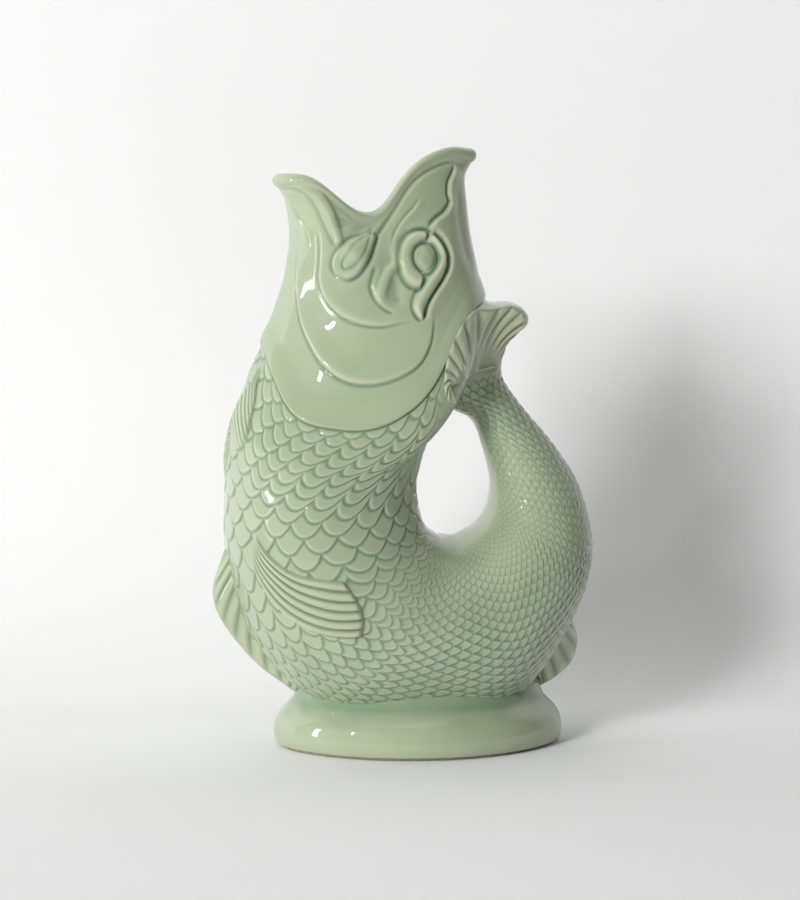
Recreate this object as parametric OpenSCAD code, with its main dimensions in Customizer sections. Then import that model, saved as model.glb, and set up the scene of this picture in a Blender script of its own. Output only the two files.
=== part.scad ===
// A fish-shaped gurgle jug. The fish stands on its belly with its mouth open upwards, and its
// hollow tail curls up behind the head as the handle. The air caught in the tail gurgles.
// The frame: origin on the table under the middle of the fish, +Z up, +X from the belly to the
// tail, and the two flanks alike on either side of Y = 0.
// The whole fish is one loft. Station 0 is the mouth's rim, and the stations run down the head,
// round under the handle's hole and up the tail. Angle 0 is the belly's mid-line.

/* [Jug] */
// Height from the table to the tip of the upper lip
jug_h = 265; // [220:5:320]
// Length from the belly to the back of the tail
jug_l = 166; // [140:2:200]
// Width of the body across its flanks
jug_w = 108; // [90:2:130]
// Thickness of the clay wall
wall = 4.5; // [3:0.5:6]
// Radius of the roll that finishes the mouth's rim
lip_r = 3.2; // [2:0.2:4]
// Height of the smooth head's edge above the scaled body
collar_step = 1.4; // [0.6:0.2:3]
// Height of the gill cover's edge above the head
gill_step = 1.6; // [0.6:0.2:3]

/* [Foot] */
// Height of the foot at its waist
foot_h = 24; // [18:1:32]
// Length of the foot
foot_l = 126; // [100:2:150]
// Width of the foot
foot_w = 97; // [80:1:120]
// How far the foot flares out from its waist
foot_flare = 8; // [4:0.5:11]
// Thickness of the foot's wall
foot_wall = 6; // [4:0.5:9]
// Thickness of the foot's clay between the body and the hollow under it
foot_floor = 5; // [3:0.5:7]
// Height of the bare clay ring that the jug stands on
bare_ring_h = 1.6; // [1:0.2:3]

/* [Fins] */
// Height of a side fin's ribs above the body
fin_rib_rise = 2.6; // [1.6:0.2:4]
// Height of a side fin's web above the body
fin_web_rise = 1.3; // [0.6:0.1:2]
// Number of ribs on a side fin
side_fin_ribs = 6; // [4:1:9]
// Thickness of the keel fins at their ribs, next to the body
keel_rib_root_t = 9; // [6:0.5:12]
// Thickness of the keel fins at their ribs, at the outer edge
keel_rib_edge_t = 4; // [2:0.5:6]
// Thickness of the keel fins between the ribs
keel_web_t = 3; // [2:0.5:5]
// Number of ribs on the belly fin
belly_fin_ribs = 9; // [6:1:12]
// Number of ribs on the rear fin
rear_fin_ribs = 5; // [3:1:7]
// Width of the tail fin where it wraps the back of the head
fluke_wrap_t = 50; // [40:1:56]
// Thickness of the tail fin where it leaves the tail
fluke_root_t = 26; // [20:1:34]
// Thickness of the tail fin at its free edge
fluke_edge_t = 9; // [6:0.5:14]
// Number of ribs on the tail fin
fluke_ribs = 13; // [8:1:18]
// Height of the tail fin's ribs
fluke_rib_rise = 1.4; // [0.6:0.2:2.4]

/* [Eyes] */
// Diameter of the eyeball
eye_d = 9; // [7:0.2:11]
// Diameter of the open ring round the eye
eye_ring_d = 24; // [21:0.5:28]
// Width of the clay of that ring
eye_ring_t = 5.6; // [4:0.2:6]
// Height of the eye above the head
eye_rise = 2.8; // [1.6:0.2:4]

/* [Hidden] */

// Points round each ring of the loft
ring_points = 36;
// Roundness of the foot's and the eyes' arcs
$fn = 40;
// How far cutting tools run past what they cut
overrun = 2;

glaze = "#a3b897";
bare_clay = "#cdbb9d";

// Height of the fish above the foot's waist, which the height shares below are of
fish_h = jug_h - foot_h;

// One row a station: the belly side's place and the back side's place in the side view, as
// shares of jug_l and fish_h, the half width as a share of half of jug_w, how far the ring sags
// between those places as a share of fish_h, its squareness, and how much wider it is towards
// the belly.
station_shares = [
    [-0.344,  0.934,  0.188,  0.983, 0.44, 0.086, 2.00, 0.00],
    [-0.317,  0.898,  0.164,  0.947, 0.51, 0.106, 2.00, 0.00],
    [-0.307,  0.838,  0.167,  0.901, 0.61, 0.121, 2.00, 0.00],
    [-0.321,  0.767,  0.175,  0.846, 0.70, 0.139, 2.05, 0.00],
    [-0.348,  0.707,  0.192,  0.787, 0.78, 0.169, 2.10, 0.04],
    [-0.377,  0.649,  0.208,  0.723, 0.83, 0.196, 2.10, 0.12],
    [-0.420,  0.577,  0.195,  0.637, 0.87, 0.165, 2.00, 0.24],
    [-0.461,  0.486,  0.116,  0.543, 0.92, 0.110, 2.05, 0.22],
    [-0.478,  0.367,  0.030,  0.407, 0.96, 0.051, 2.15, 0.08],
    [-0.471,  0.243,  0.041,  0.324, 1.00, 0.022, 2.20, 0.00],
    [-0.400,  0.094,  0.081,  0.293, 1.00, 0.009, 2.20, 0.00],
    [-0.206, -0.026,  0.114,  0.287, 0.98, 0.000, 2.05, 0.00],
    [ 0.071, -0.045,  0.141,  0.287, 0.94, 0.000, 2.00, 0.00],
    [ 0.307, -0.022,  0.171,  0.296, 0.87, 0.000, 2.05, 0.00],
    [ 0.461,  0.099,  0.204,  0.310, 0.76, 0.000, 2.15, 0.00],
    [ 0.507,  0.243,  0.229,  0.342, 0.61, 0.000, 2.10, 0.00],
    [ 0.479,  0.365,  0.234,  0.390, 0.46, 0.000, 2.05, 0.00],
    [ 0.409,  0.448,  0.212,  0.450, 0.33, 0.000, 2.00, 0.00],
    [ 0.321,  0.521,  0.171,  0.495, 0.25, 0.000, 2.00, 0.00],
    [ 0.269,  0.572,  0.160,  0.532, 0.20, 0.000, 2.00, 0.00]
];
last_station = len(station_shares) - 1;

// The stations where the clay parts meet
collar_station = 5;
tail_station = 15;
// The stations of the rows of points on each part
head_stations = [for (k = [1 : 20]) collar_station * k / 20];
// The body is built in lengths, each an open sleeve, and these are the stations between them
body_cuts = [collar_station, 6.8, 8.6, 10.3, 11.9, 13.4, tail_station];
// Rows of quads along each length
body_rows = 4;
body_stations = [
    for (k = [0 : len(body_cuts) - 2], i = [0 : body_rows - 1])
        body_cuts[k] + (body_cuts[k + 1] - body_cuts[k]) * i / body_rows,
    tail_station
];
tail_stations = [for (k = [0 : 8]) tail_station + (last_station - tail_station) * k / 8];
// Where the tail's cavity ends
cavity_end = last_station - 0.6;

// The mouth's notch: the angle of its lowest point, its sharpness towards the lower and the
// upper lip, and the station by which it has turned into the even sag of the rings
notch_angle = 84;
notch_front = 12;
notch_back = 15;
notch_fade = 3;

// A place in the side view, from its shares
function side(share) = [share[0] * jug_l, foot_h + share[1] * fish_h];

// A smooth curve through the rows p0 to p3, between p1 and p2
function curve(p0, p1, p2, p3, t) =
    (2 * p1 + (p2 - p0) * t + (2 * p0 - 5 * p1 + 4 * p2 - p3) * t * t
        + (3 * p1 - p0 - 3 * p2 + p3) * t * t * t) / 2;

// A place on the smooth curve through a list of rows, t from 0 at the first to 1 at the last
function along(rows, t) =
    let (
        n = len(rows) - 1,
        k = min(floor(t * n), n - 1),
        before = k > 0 ? rows[k - 1] : 2 * rows[0] - rows[1],
        after = k < n - 1 ? rows[k + 2] : 2 * rows[n] - rows[n - 1]
    )
    curve(before, rows[k], rows[k + 1], after, t * n - k);

// A sine or cosine raised to the ring's squareness, with its sign kept
function squared(x, squareness) = sign(x) * pow(abs(x), 2 / squareness);

// How far the ring has sagged at an angle, as a share of its sag
function even_sag(a) = cos(a) > 0 ? pow(abs(sin(a)), 1.4) : pow(sin(a), 2);
function notch_sag(a) =
    let (from_notch = (a > 180 ? 360 - a : a) - notch_angle)
    abs(from_notch) < 90 ? pow(cos(from_notch), from_notch < 0 ? notch_front : notch_back) : 0;
function sag(v, a) =
    let (notch = max(0, 1 - v / notch_fade))
    notch * notch_sag(a) + (1 - notch) * even_sag(a);

// A point of the fish's outer surface at a station and an angle
function skin(v, a) =
    let (
        s = along(station_shares, v / last_station),
        belly = side([s[0], s[1]]),
        back = side([s[2], s[3]]),
        middle = (belly + back) / 2,
        reach = (belly - back) / 2,
        down = [-reach[1], reach[0]] / norm(reach),
        u = squared(cos(a), s[6]),
        flat = middle + reach * u + down * s[5] * fish_h * sag(v, a)
    )
    [flat[0], -s[4] * jug_w / 2 * squared(sin(a), s[6]) * (1 + s[7] * cos(a)), flat[1]];

// The surface's outward normal there
function skin_normal(v, a) =
    let (
        dv = 0.04,
        da = 2,
        along_v = skin(min(v + dv, last_station), a) - skin(max(v - dv, 0), a),
        n = cross(along_v, skin(v, a + da) - skin(v, a - da))
    )
    n / norm(n);

// The direction over the rim, away from the fish
function rim_up(a) =
    let (up = skin(0, a) - skin(0.1, a))
    up / norm(up);

// The collar's edge isn't level: how many stations it lies below or above its own, at every 20
// degrees from the belly to the back. The rows near it follow it, down to a last station.
collar_shifts = [-0.05, 0.33, 0.62, 0.20, -0.22, -0.65, -1.05, -0.90, -0.30, 0.00];
collar_shift_from = 2.2;
collar_shift_to = 8.5;
function ramp(x, from, to) =
    let (t = min(max((x - from) / (to - from), 0), 1))
    t * t * (3 - 2 * t);
function flow(v, a) =
    let (
        near = v < collar_station
            ? ramp(v, collar_shift_from, collar_station)
            : 1 - ramp(v, collar_station, collar_shift_to)
    )
    v + near * along(collar_shifts, (a > 180 ? 360 - a : a) / 180);

function ring_angles() = [for (i = [0 : ring_points - 1]) 360 * i / ring_points];

// A ring of the surface, raised by a height that may be negative
function skin_ring(v, rise) = [
    for (a = ring_angles())
        let (w = flow(v, a))
        skin(w, a) + rise * skin_normal(w, a)
];

// The head's own relief: the collar rises to its edge, and so does the gill cover on each flank
gill_station = 3.9;
gill_start = 2.9;
gill_angle = 72;
gill_half_span = 46;
function gill_span(a) =
    let (off = abs((a > 180 ? 360 - a : a) - gill_angle))
    1 - ramp(off, gill_half_span / 2, gill_half_span);
function head_rise(v, a) =
    collar_step * ramp(v, gill_station, collar_station)
    + (v > gill_station ? 0 : gill_step * ramp(v, gill_start, gill_station) * gill_span(a));
function head_ring(v) = [
    for (a = ring_angles())
        let (w = flow(v, a))
        skin(w, a) + head_rise(v, a) * skin_normal(w, a)
];

// One row of points of the roll round the mouth, at an angle round the roll
function lip_ring(turn) = [
    for (a = ring_angles())
        let (n = skin_normal(0, a), centre = skin(0, a) - n * wall / 2)
        centre + lip_r * (n * cos(turn) + rim_up(a) * sin(turn))
];
lip_turns = [for (k = [0 : 6]) -40 + 260 * k / 6];

// The middle of a ring, for closing it
function centre(ring) = [for (point = ring) 1] * ring / len(ring);

// The faces of a skin over rows of points. Wrapped, the last row joins the first.
function grid_faces(rows, n, wrap, flip) = [
    for (k = [0 : rows - (wrap ? 1 : 2)], i = [0 : n - 1])
        let (
            j = (i + 1) % n,
            p = k * n + i,
            q = k * n + j,
            r = ((k + 1) % rows) * n + j,
            s = ((k + 1) % rows) * n + i
        )
        each flip ? [[p, r, q], [p, s, r]] : [[p, q, r], [p, r, s]]
];

// A closed shell whose rows run round its section, such as an open sleeve of clay
module sleeve(rows, flip = false) {
    n = len(rows[0]);
    polyhedron([for (row = rows) each row], grid_faces(len(rows), n, true, flip));
}

// A closed solid over rows of points, with a pole at each end
module capped(rows, flip = false) {
    n = len(rows[0]);
    m = len(rows);
    first = centre(rows[0]);
    last = centre(rows[m - 1]);
    first_faces = [
        for (i = [0 : n - 1])
            let (j = (i + 1) % n)
            flip ? [n * m, i, j] : [n * m, j, i]
    ];
    last_faces = [
        for (i = [0 : n - 1])
            let (j = (i + 1) % n, p = n * (m - 1))
            flip ? [n * m + 1, p + j, p + i] : [n * m + 1, p + i, p + j]
    ];
    polyhedron(
        [each [for (row = rows) each row], first, last],
        concat(grid_faces(m, n, false, flip), first_faces, last_faces)
    );
}

// The head, body and tail as solid clay, for seating the other pieces on them
module solid_head() {
    capped(concat([lip_ring(90)], [for (v = head_stations) head_ring(v)]));
}
module solid_body() {
    capped([for (v = body_stations) skin_ring(v, 0)]);
}
module solid_tail() {
    capped([for (v = tail_stations) skin_ring(v, 0)]);
}

// A slab of the body's surface, raised by rise, for the low fins on its flanks. The patch is its
// first and last station and its first and last angle.
module raised_patch(patch, rise) {
    rows = 6;
    columns = 6;
    function raised(rise) = [
        for (i = [0 : rows], j = [0 : columns])
            let (
                v = patch[0] + (patch[1] - patch[0]) * i / rows,
                a = patch[3] + (patch[2] - patch[3]) * j / columns
            )
            skin(v, a) + rise * skin_normal(v, a)
    ];
    plate(raised(rise), raised(-2 * rise), rows, columns);
}

// A closed plate between two grids of points
module plate(upper, lower, rows, columns) {
    n = columns + 1;
    count = (rows + 1) * n;
    top = [for (i = [0 : rows - 1], j = [0 : columns - 1])
        let (p = i * n + j)
        each [[p, p + n + 1, p + 1], [p, p + n, p + n + 1]]];
    bottom = [for (f = top) [f[0] + count, f[2] + count, f[1] + count]];
    ends = [for (j = [0 : columns - 1])
        let (p = j, q = rows * n + j)
        each [
            [p, p + 1, p + 1 + count], [p, p + 1 + count, p + count],
            [q, q + 1 + count, q + 1], [q, q + count, q + 1 + count]
        ]];
    edges = [for (i = [0 : rows - 1])
        let (p = i * n, q = i * n + columns)
        each [
            [p, p + n + count, p + n], [p, p + count, p + n + count],
            [q, q + n, q + n + count], [q, q + n + count, q + count]
        ]];
    polyhedron(concat(upper, lower), concat(top, bottom, ends, edges));
}

module head() {
    outer = [for (k = [len(head_stations) - 1 : -1 : 0]) head_ring(head_stations[k])];
    lip = [for (turn = lip_turns) lip_ring(turn)];
    inner = [for (v = head_stations) skin_ring(v, -wall)];
    color(glaze)
    sleeve(concat(outer, lip, inner, [skin_ring(collar_station, 0)]), true);
}

// One length of the body's wall, open at both ends
module body_length(k) {
    stations = [
        for (i = [0 : body_rows])
            body_cuts[k] + (body_cuts[k + 1] - body_cuts[k]) * i / body_rows
    ];
    outer = [for (v = stations) skin_ring(v, 0)];
    inner = [for (i = [body_rows : -1 : 0]) skin_ring(stations[i], -wall)];
    color(glaze)
    sleeve(concat(outer, inner));
}
module neck() {
    body_length(0);
}
module shoulder() {
    body_length(1);
}
module breast() {
    body_length(2);
}
module belly() {
    body_length(3);
}
module loin() {
    body_length(4);
}
module rump() {
    body_length(5);
}

module tail() {
    m = len(tail_stations);
    outer = [for (k = [m - 1 : -1 : 0]) skin_ring(tail_stations[k], 0)];
    inner = [for (v = tail_stations) if (v < cavity_end) skin_ring(v, -wall)];
    color(glaze)
    capped(concat(outer, inner, [skin_ring(cavity_end, -wall)]), true);
}

// The foot's plan is an oval of four arcs. These are the end arcs' radius and place, the side
// arcs' place and radius, and half the end arcs' span.
end_radius_share = 0.34;
// How far the foot's middle lies towards the tail, as a share of jug_l
foot_x_share = 0.039;
foot_x = foot_x_share * jug_l;
end_radius = foot_w * end_radius_share;
end_x = foot_l / 2 - end_radius;
side_y = (pow(end_x, 2) - pow(foot_w / 2 - end_radius, 2)) / (foot_w - 2 * end_radius);
side_radius = foot_w / 2 + side_y;
end_half_span = atan2(side_y, end_x);

// The foot's side from the table up: distance in from the widest outline as a share of
// foot_flare, and height as a share of foot_h
foot_side_shares = [
    [0.30, 0.00], [0.14, 0.05], [0.03, 0.13], [0.00, 0.23], [0.03, 0.36], [0.13, 0.52],
    [0.30, 0.67], [0.55, 0.79], [0.85, 0.88], [1.00, 0.97], [1.04, 1.10], [1.25, 1.22],
    [1.65, 1.31], [2.30, 1.38]
];
// Inner edge of the bare ring, in from the widest outline as a share of foot_flare
bare_ring_inner_share = 0.95;

// The four arcs: centre, radius, first angle, span and number of points
side_span = 180 - 2 * end_half_span;
foot_arcs = [
    [[end_x, 0], end_radius, -end_half_span, 2 * end_half_span, 9],
    [[0, -side_y], side_radius, end_half_span, side_span, 11],
    [[-end_x, 0], end_radius, 180 - end_half_span, 2 * end_half_span, 9],
    [[0, side_y], side_radius, 180 + end_half_span, side_span, 11]
];

// The oval, drawn in from the foot's widest outline
function oval(inset) = [
    for (arc = foot_arcs, k = [0 : arc[4] - 1])
        let (a = arc[2] + arc[3] * k / arc[4])
        [foot_x, 0] + arc[0] + (arc[1] - inset) * [cos(a), sin(a)]
];
function oval_ring(inset, z) = [for (p = oval(inset)) [p[0], p[1], z]];

foot_side = [for (p = foot_side_shares) [p[0] * foot_flare, p[1] * foot_h]];
// Where the foot's side is at the top of the bare ring
ring_top_in = foot_side[0][0] + (foot_side[1][0] - foot_side[0][0])
    * min(bare_ring_h / foot_side[1][1], 1);

// The foot before the body and the hollow are taken out of it
module foot_block() {
    above_ring = [for (p = foot_side) if (p[1] > bare_ring_h) oval_ring(p[0], p[1])];
    capped(concat([oval_ring(ring_top_in, bare_ring_h)], above_ring), true);
}

module foot() {
    body_bottom = foot_h + station_shares[12][1] * fish_h;
    color(glaze)
    difference() {
        foot_block();
        solid_body();
        linear_extrude(body_bottom - foot_floor)
        polygon(oval(foot_wall));
    }
}

module foot_ring() {
    color(bare_clay)
    linear_extrude(bare_ring_h)
    difference() {
        polygon(oval(ring_top_in));
        polygon(oval(foot_wall));
    }
}

// A chain of discs between points in the plane, joined up, thicker towards its end
module tapered_line(points, start_r, end_r) {
    n = len(points) - 1;
    for (k = [0 : n - 1])
        hull() {
            translate(points[k])
            circle(start_r + (end_r - start_r) * k / n, $fn = 8);
            translate(points[k + 1])
            circle(start_r + (end_r - start_r) * (k + 1) / n, $fn = 8);
        }
}

// Edges of the left pectoral fin in the side view, from its root to its trailing edge
pectoral_upper_shares = [
    [-0.402, 0.303], [-0.356, 0.258], [-0.318, 0.239], [-0.266, 0.233], [-0.204, 0.235]
];
pectoral_lower_shares = [
    [-0.420, 0.290], [-0.400, 0.222], [-0.352, 0.172], [-0.268, 0.135], [-0.133, 0.123]
];
// How far the trailing edge bows out between them, as a share of jug_l
pectoral_bow_share = 0.022;
// The patch of flank under it: first and last station, first and last angle
pectoral_patch = [8.0, 11.2, 28, 104];

// A place on the pectoral fin: t from root to trailing edge, w from upper to lower edge
function on_pectoral(t, w) =
    let (share = along(pectoral_upper_shares, t) * (1 - w) + along(pectoral_lower_shares, t) * w)
    side(share) + [pectoral_bow_share * jug_l * 4 * w * (1 - w) * t, 0];

module pectoral_fin_left() {
    steps = 6;
    rib_steps = 4;
    web = concat(
        [for (k = [0 : steps]) on_pectoral(k / steps, 0)],
        [for (k = [1 : steps]) on_pectoral(1, k / steps)],
        [for (k = [steps - 1 : -1 : 0]) on_pectoral(k / steps, 1)]
    );
    root_gap = norm(on_pectoral(0, 0) - on_pectoral(0, 1)) / side_fin_ribs;
    edge_gap = norm(on_pectoral(1, 0) - on_pectoral(1, 1)) / side_fin_ribs;
    color(glaze)
    difference() {
        union() {
            intersection() {
                raised_patch(pectoral_patch, fin_web_rise);
                rotate([90, 0, 0])
                linear_extrude(jug_w)
                polygon(web);
            }
            intersection() {
                raised_patch(pectoral_patch, fin_rib_rise);
                rotate([90, 0, 0])
                linear_extrude(jug_w)
                for (j = [0 : side_fin_ribs - 1])
                    tapered_line(
                        [for (k = [0 : rib_steps]) on_pectoral(k / rib_steps, (j + 0.5) / side_fin_ribs)],
                        root_gap * 0.32,
                        edge_gap * 0.32
                    );
            }
        }
        solid_body();
    }
}

module pectoral_fin_right() {
    mirror([0, 1, 0])
    pectoral_fin_left();
}

// Edges of the left pelvic fin in the front view, from its root at the top to its tip:
// distance from the mid-line as a share of jug_w, height as a share of fish_h
pelvic_inner_shares = [[0.015, 0.632], [0.020, 0.580], [0.015, 0.530], [0.040, 0.490], [0.100, 0.468]];
pelvic_outer_shares = [[0.030, 0.636], [0.100, 0.590], [0.160, 0.548], [0.205, 0.505], [0.200, 0.474]];
// The right one sits lower than the left one, as a share of fish_h
pelvic_drop_share = 0.06;
// The patch of flank under it
pelvic_patch = [5.02, 8.4, -6, 46];

// A place on a pelvic fin in the front view: t from root to tip, w from inner to outer edge
function on_pelvic(t, w, drop) =
    let (share = along(pelvic_inner_shares, t) * (1 - w) + along(pelvic_outer_shares, t) * w)
    [share[0] * jug_w, foot_h + (share[1] - drop) * fish_h];

// A pelvic fin on the left flank, set lower by a share of the fish's height
module pelvic_fin(drop) {
    steps = 6;
    web = concat(
        [for (k = [0 : steps]) on_pelvic(k / steps, 0, drop)],
        [for (k = [steps : -1 : 0]) on_pelvic(k / steps, 1, drop)]
    );
    rib_r = norm(on_pelvic(0.5, 0, drop) - on_pelvic(0.5, 1, drop)) / side_fin_ribs / 3;
    color(glaze)
    difference() {
        union() {
            intersection() {
                raised_patch(pelvic_patch, fin_web_rise);
                rotate([90, 0, -90])
                linear_extrude(jug_l)
                polygon(web);
            }
            intersection() {
                raised_patch(pelvic_patch, fin_rib_rise * 0.8);
                rotate([90, 0, -90])
                linear_extrude(jug_l)
                for (j = [1 : side_fin_ribs])
                    let (t = j / (side_fin_ribs + 1))
                    tapered_line(
                        [
                            on_pelvic(t, 0.92, drop),
                            on_pelvic(t + 0.07, 0.5, drop),
                            on_pelvic(min(t + 0.18, 0.96), 0.12, drop)
                        ],
                        rib_r,
                        rib_r * 0.7
                    );
            }
        }
        solid_body();
        solid_head();
    }
}

module pelvic_fin_left() {
    pelvic_fin(0);
}
module pelvic_fin_right() {
    mirror([0, 1, 0])
    pelvic_fin(pelvic_drop_share);
}

// Edges of the keel fins in the side view, and the line inside the body that they grow from
belly_edge_shares = [
    [-0.484, 0.265], [-0.512, 0.206], [-0.510, 0.165], [-0.482, 0.125], [-0.436, 0.083],
    [-0.383, 0.045], [-0.338, 0.024], [-0.322, 0.006]
];
belly_root_shares = [
    [-0.440, 0.285], [-0.440, 0.250], [-0.430, 0.215], [-0.410, 0.175], [-0.380, 0.135],
    [-0.335, 0.095], [-0.290, 0.065], [-0.262, 0.048]
];
rear_edge_shares = [[0.488, 0.135], [0.480, 0.085], [0.462, 0.045], [0.410, 0.016], [0.365, 0.004]];
rear_root_shares = [[0.400, 0.155], [0.395, 0.125], [0.375, 0.095], [0.345, 0.075], [0.315, 0.062]];

// How much of the way to the fin's edge its ribs reach
rib_reach_share = 0.95;

// A ribbed fin on the mid-plane. Each rib slants back from its root to the fin's edge.
module keel_fin(root_shares, edge_shares, ribs, slant) {
    steps = 16;
    edge = [for (k = [0 : steps]) side(along(edge_shares, k / steps))];
    root = [for (k = [steps : -1 : 0]) side(along(root_shares, k / steps))];
    difference() {
        union() {
            rotate([90, 0, 0])
            linear_extrude(keel_web_t, center = true)
            polygon(concat(edge, root));
            for (j = [0 : ribs - 1])
                let (
                    t = (j + 0.5) / (ribs + 1),
                    base = side(along(root_shares, t)),
                    tip = base + (side(along(edge_shares, t + slant)) - base) * rib_reach_share,
                    bend = (tip + base) / 2 + [0, -slant * keel_rib_root_t]
                ) {
                    fin_rib(base, bend, keel_rib_root_t, (keel_rib_root_t + keel_rib_edge_t) / 2);
                    fin_rib(bend, tip, (keel_rib_root_t + keel_rib_edge_t) / 2, keel_rib_edge_t);
                }
        }
        solid_body();
        foot_block();
    }
}
// A length of rib between two places in the side view, narrower across the fin than through it
module fin_rib(from, to, from_t, to_t) {
    hull() {
        rib_end(from, from_t);
        rib_end(to, to_t);
    }
}
module rib_end(place, t) {
    translate([place[0], 0, place[1]])
    rotate([90, 0, 0])
    cylinder(h = t, r1 = t / 5, r2 = t / 5, center = true, $fn = 8);
}

module belly_fin() {
    color(glaze)
    keel_fin(belly_root_shares, belly_edge_shares, belly_fin_ribs, 0.07);
}
module rear_fin() {
    color(glaze)
    keel_fin(rear_root_shares, rear_edge_shares, rear_fin_ribs, 0.10);
}

// The tail fin's free edge in the side view, from the handle's hole up along the head's back
// and round to the outside of the tail, and the line that its ribs fan out from
fluke_edge_shares = [
    [0.128, 0.520], [0.098, 0.540], [0.090, 0.590], [0.112, 0.645], [0.160, 0.690],
    [0.215, 0.714], [0.263, 0.714], [0.305, 0.700], [0.328, 0.681], [0.300, 0.645],
    [0.272, 0.600], [0.272, 0.565]
];
fluke_root_shares = [
    [0.172, 0.496], [0.176, 0.504], [0.180, 0.510], [0.186, 0.516], [0.194, 0.522],
    [0.203, 0.527], [0.213, 0.530], [0.224, 0.533], [0.236, 0.536], [0.246, 0.538],
    [0.255, 0.540], [0.262, 0.540]
];
fluke_row_shares = [0, 0.2, 0.4, 0.6, 0.8, 0.93, 1];

module tail_fin() {
    columns = 4 * fluke_ribs;
    rows = len(fluke_row_shares) - 1;
    function half_t(t, r) =
        let (
            root_t = fluke_root_t,
            edge_t = fluke_edge_t + (fluke_wrap_t - fluke_edge_t) * (1 - ramp(t, 0.1, 0.6)),
            rib = fluke_rib_rise * (1 + cos(360 * fluke_ribs * t)) / 2 * ramp(r, 0.1, 0.4)
        )
        ((root_t + (edge_t - root_t) * r) / 2 + rib) * sqrt(1 - 0.9 * pow(r, 8));
    function place(t, r, sign) =
        let (flat = side(along(fluke_root_shares, t) * (1 - r) + along(fluke_edge_shares, t) * r))
        [flat[0], sign * half_t(t, r), flat[1]];
    upper = [for (i = [0 : rows], j = [0 : columns]) place(j / columns, fluke_row_shares[i], -1)];
    lower = [for (i = [0 : rows], j = [0 : columns]) place(j / columns, fluke_row_shares[i], 1)];
    color(glaze)
    difference() {
        plate(upper, lower, rows, columns);
        solid_tail();
        solid_head();
        solid_body();
    }
}

// The eye's place on the left flank
eye_station = 1.94;
eye_angle = 106;
// Where the open ring starts and how far round it runs, and the same of the lid's fold
ring_start = 80;
ring_span = 220;
fold_start = -62;
fold_span = 128;

// What is drawn flat round the eye's middle, seated on the left flank
module on_left_cheek() {
    n = skin_normal(eye_station, eye_angle);
    difference() {
        translate(skin(eye_station, eye_angle))
        rotate([0, 0, atan2(n[1], n[0]) + 90])
        rotate([acos(n[2]), 0, 0])
        children();
        solid_head();
    }
}

module eye_left() {
    color(glaze)
    on_left_cheek()
    dome(eye_d, eye_rise);
}
module eye_right() {
    mirror([0, 1, 0])
    eye_left();
}

module eyelid_left() {
    ring_r = (eye_ring_d - eye_ring_t) / 2;
    fold_t = eye_ring_t / 2;
    fold_r = (eye_d / 2 + ring_r) / 2 + fold_t / 2;
    color(glaze)
    on_left_cheek() {
        arc_bead(ring_r, eye_ring_t, eye_rise, ring_start, ring_span);
        arc_bead(fold_r, fold_t, eye_rise, fold_start, fold_span);
    }
}
module eyelid_right() {
    mirror([0, 1, 0])
    eyelid_left();
}

module dome(d, rise) {
    rotate_extrude()
    polygon(concat(
        [[0, -rise]],
        [[d / 2, -rise]],
        [for (t = [0 : 15 : 90]) [d / 2 * cos(t), rise * (0.4 + 0.6 * sin(t))]]
    ));
}
// A raised bead along an arc
module arc_bead(radius, width, rise, start, span) {
    rotate([0, 0, start])
    rotate_extrude(angle = span)
    polygon(concat(
        [[radius - width / 2, -rise], [radius + width / 2, -rise]],
        [for (t = [0 : 30 : 180]) [radius + width / 2 * cos(t), rise * sin(t)]]
    ));
}

head();
neck();
shoulder();
breast();
belly();
loin();
rump();
tail();
tail_fin();
foot();
foot_ring();
pectoral_fin_left();
pectoral_fin_right();
pelvic_fin_left();
pelvic_fin_right();
belly_fin();
rear_fin();
eye_left();
eye_right();
eyelid_left();
eyelid_right();
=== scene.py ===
"""A fish gurgle jug in celadon glaze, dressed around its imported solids."""
import math
import bpy
import numpy as np
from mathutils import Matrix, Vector


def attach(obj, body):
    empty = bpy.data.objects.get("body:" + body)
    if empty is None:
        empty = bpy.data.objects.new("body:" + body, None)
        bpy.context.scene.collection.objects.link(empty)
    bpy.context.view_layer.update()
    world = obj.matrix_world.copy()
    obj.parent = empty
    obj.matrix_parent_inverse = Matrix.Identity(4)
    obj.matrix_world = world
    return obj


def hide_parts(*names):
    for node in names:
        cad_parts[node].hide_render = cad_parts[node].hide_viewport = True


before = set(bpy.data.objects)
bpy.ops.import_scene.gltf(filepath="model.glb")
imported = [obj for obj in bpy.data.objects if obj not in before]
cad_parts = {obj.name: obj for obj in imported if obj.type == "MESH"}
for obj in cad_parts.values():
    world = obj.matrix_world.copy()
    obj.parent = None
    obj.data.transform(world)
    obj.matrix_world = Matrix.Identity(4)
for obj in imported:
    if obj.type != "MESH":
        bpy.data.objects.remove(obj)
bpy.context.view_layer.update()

# The jug's measures, as in its source, in metres
JUG_H = 0.265
JUG_L = 0.166
JUG_W = 0.108
FOOT_H = 0.024
FISH_H = JUG_H - FOOT_H
WALL = 0.0045
LIP_R = 0.0032
COLLAR_STEP = 0.0014
LIP_SKEW = 0.13
LIP_HUMP = 0.0027
MM = 0.001
MIRROR = np.array([1, -1, 1])
HANDS = (("left", False), ("right", True))
WHITE = (1.0, 1.0, 1.0, 1.0)

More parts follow.
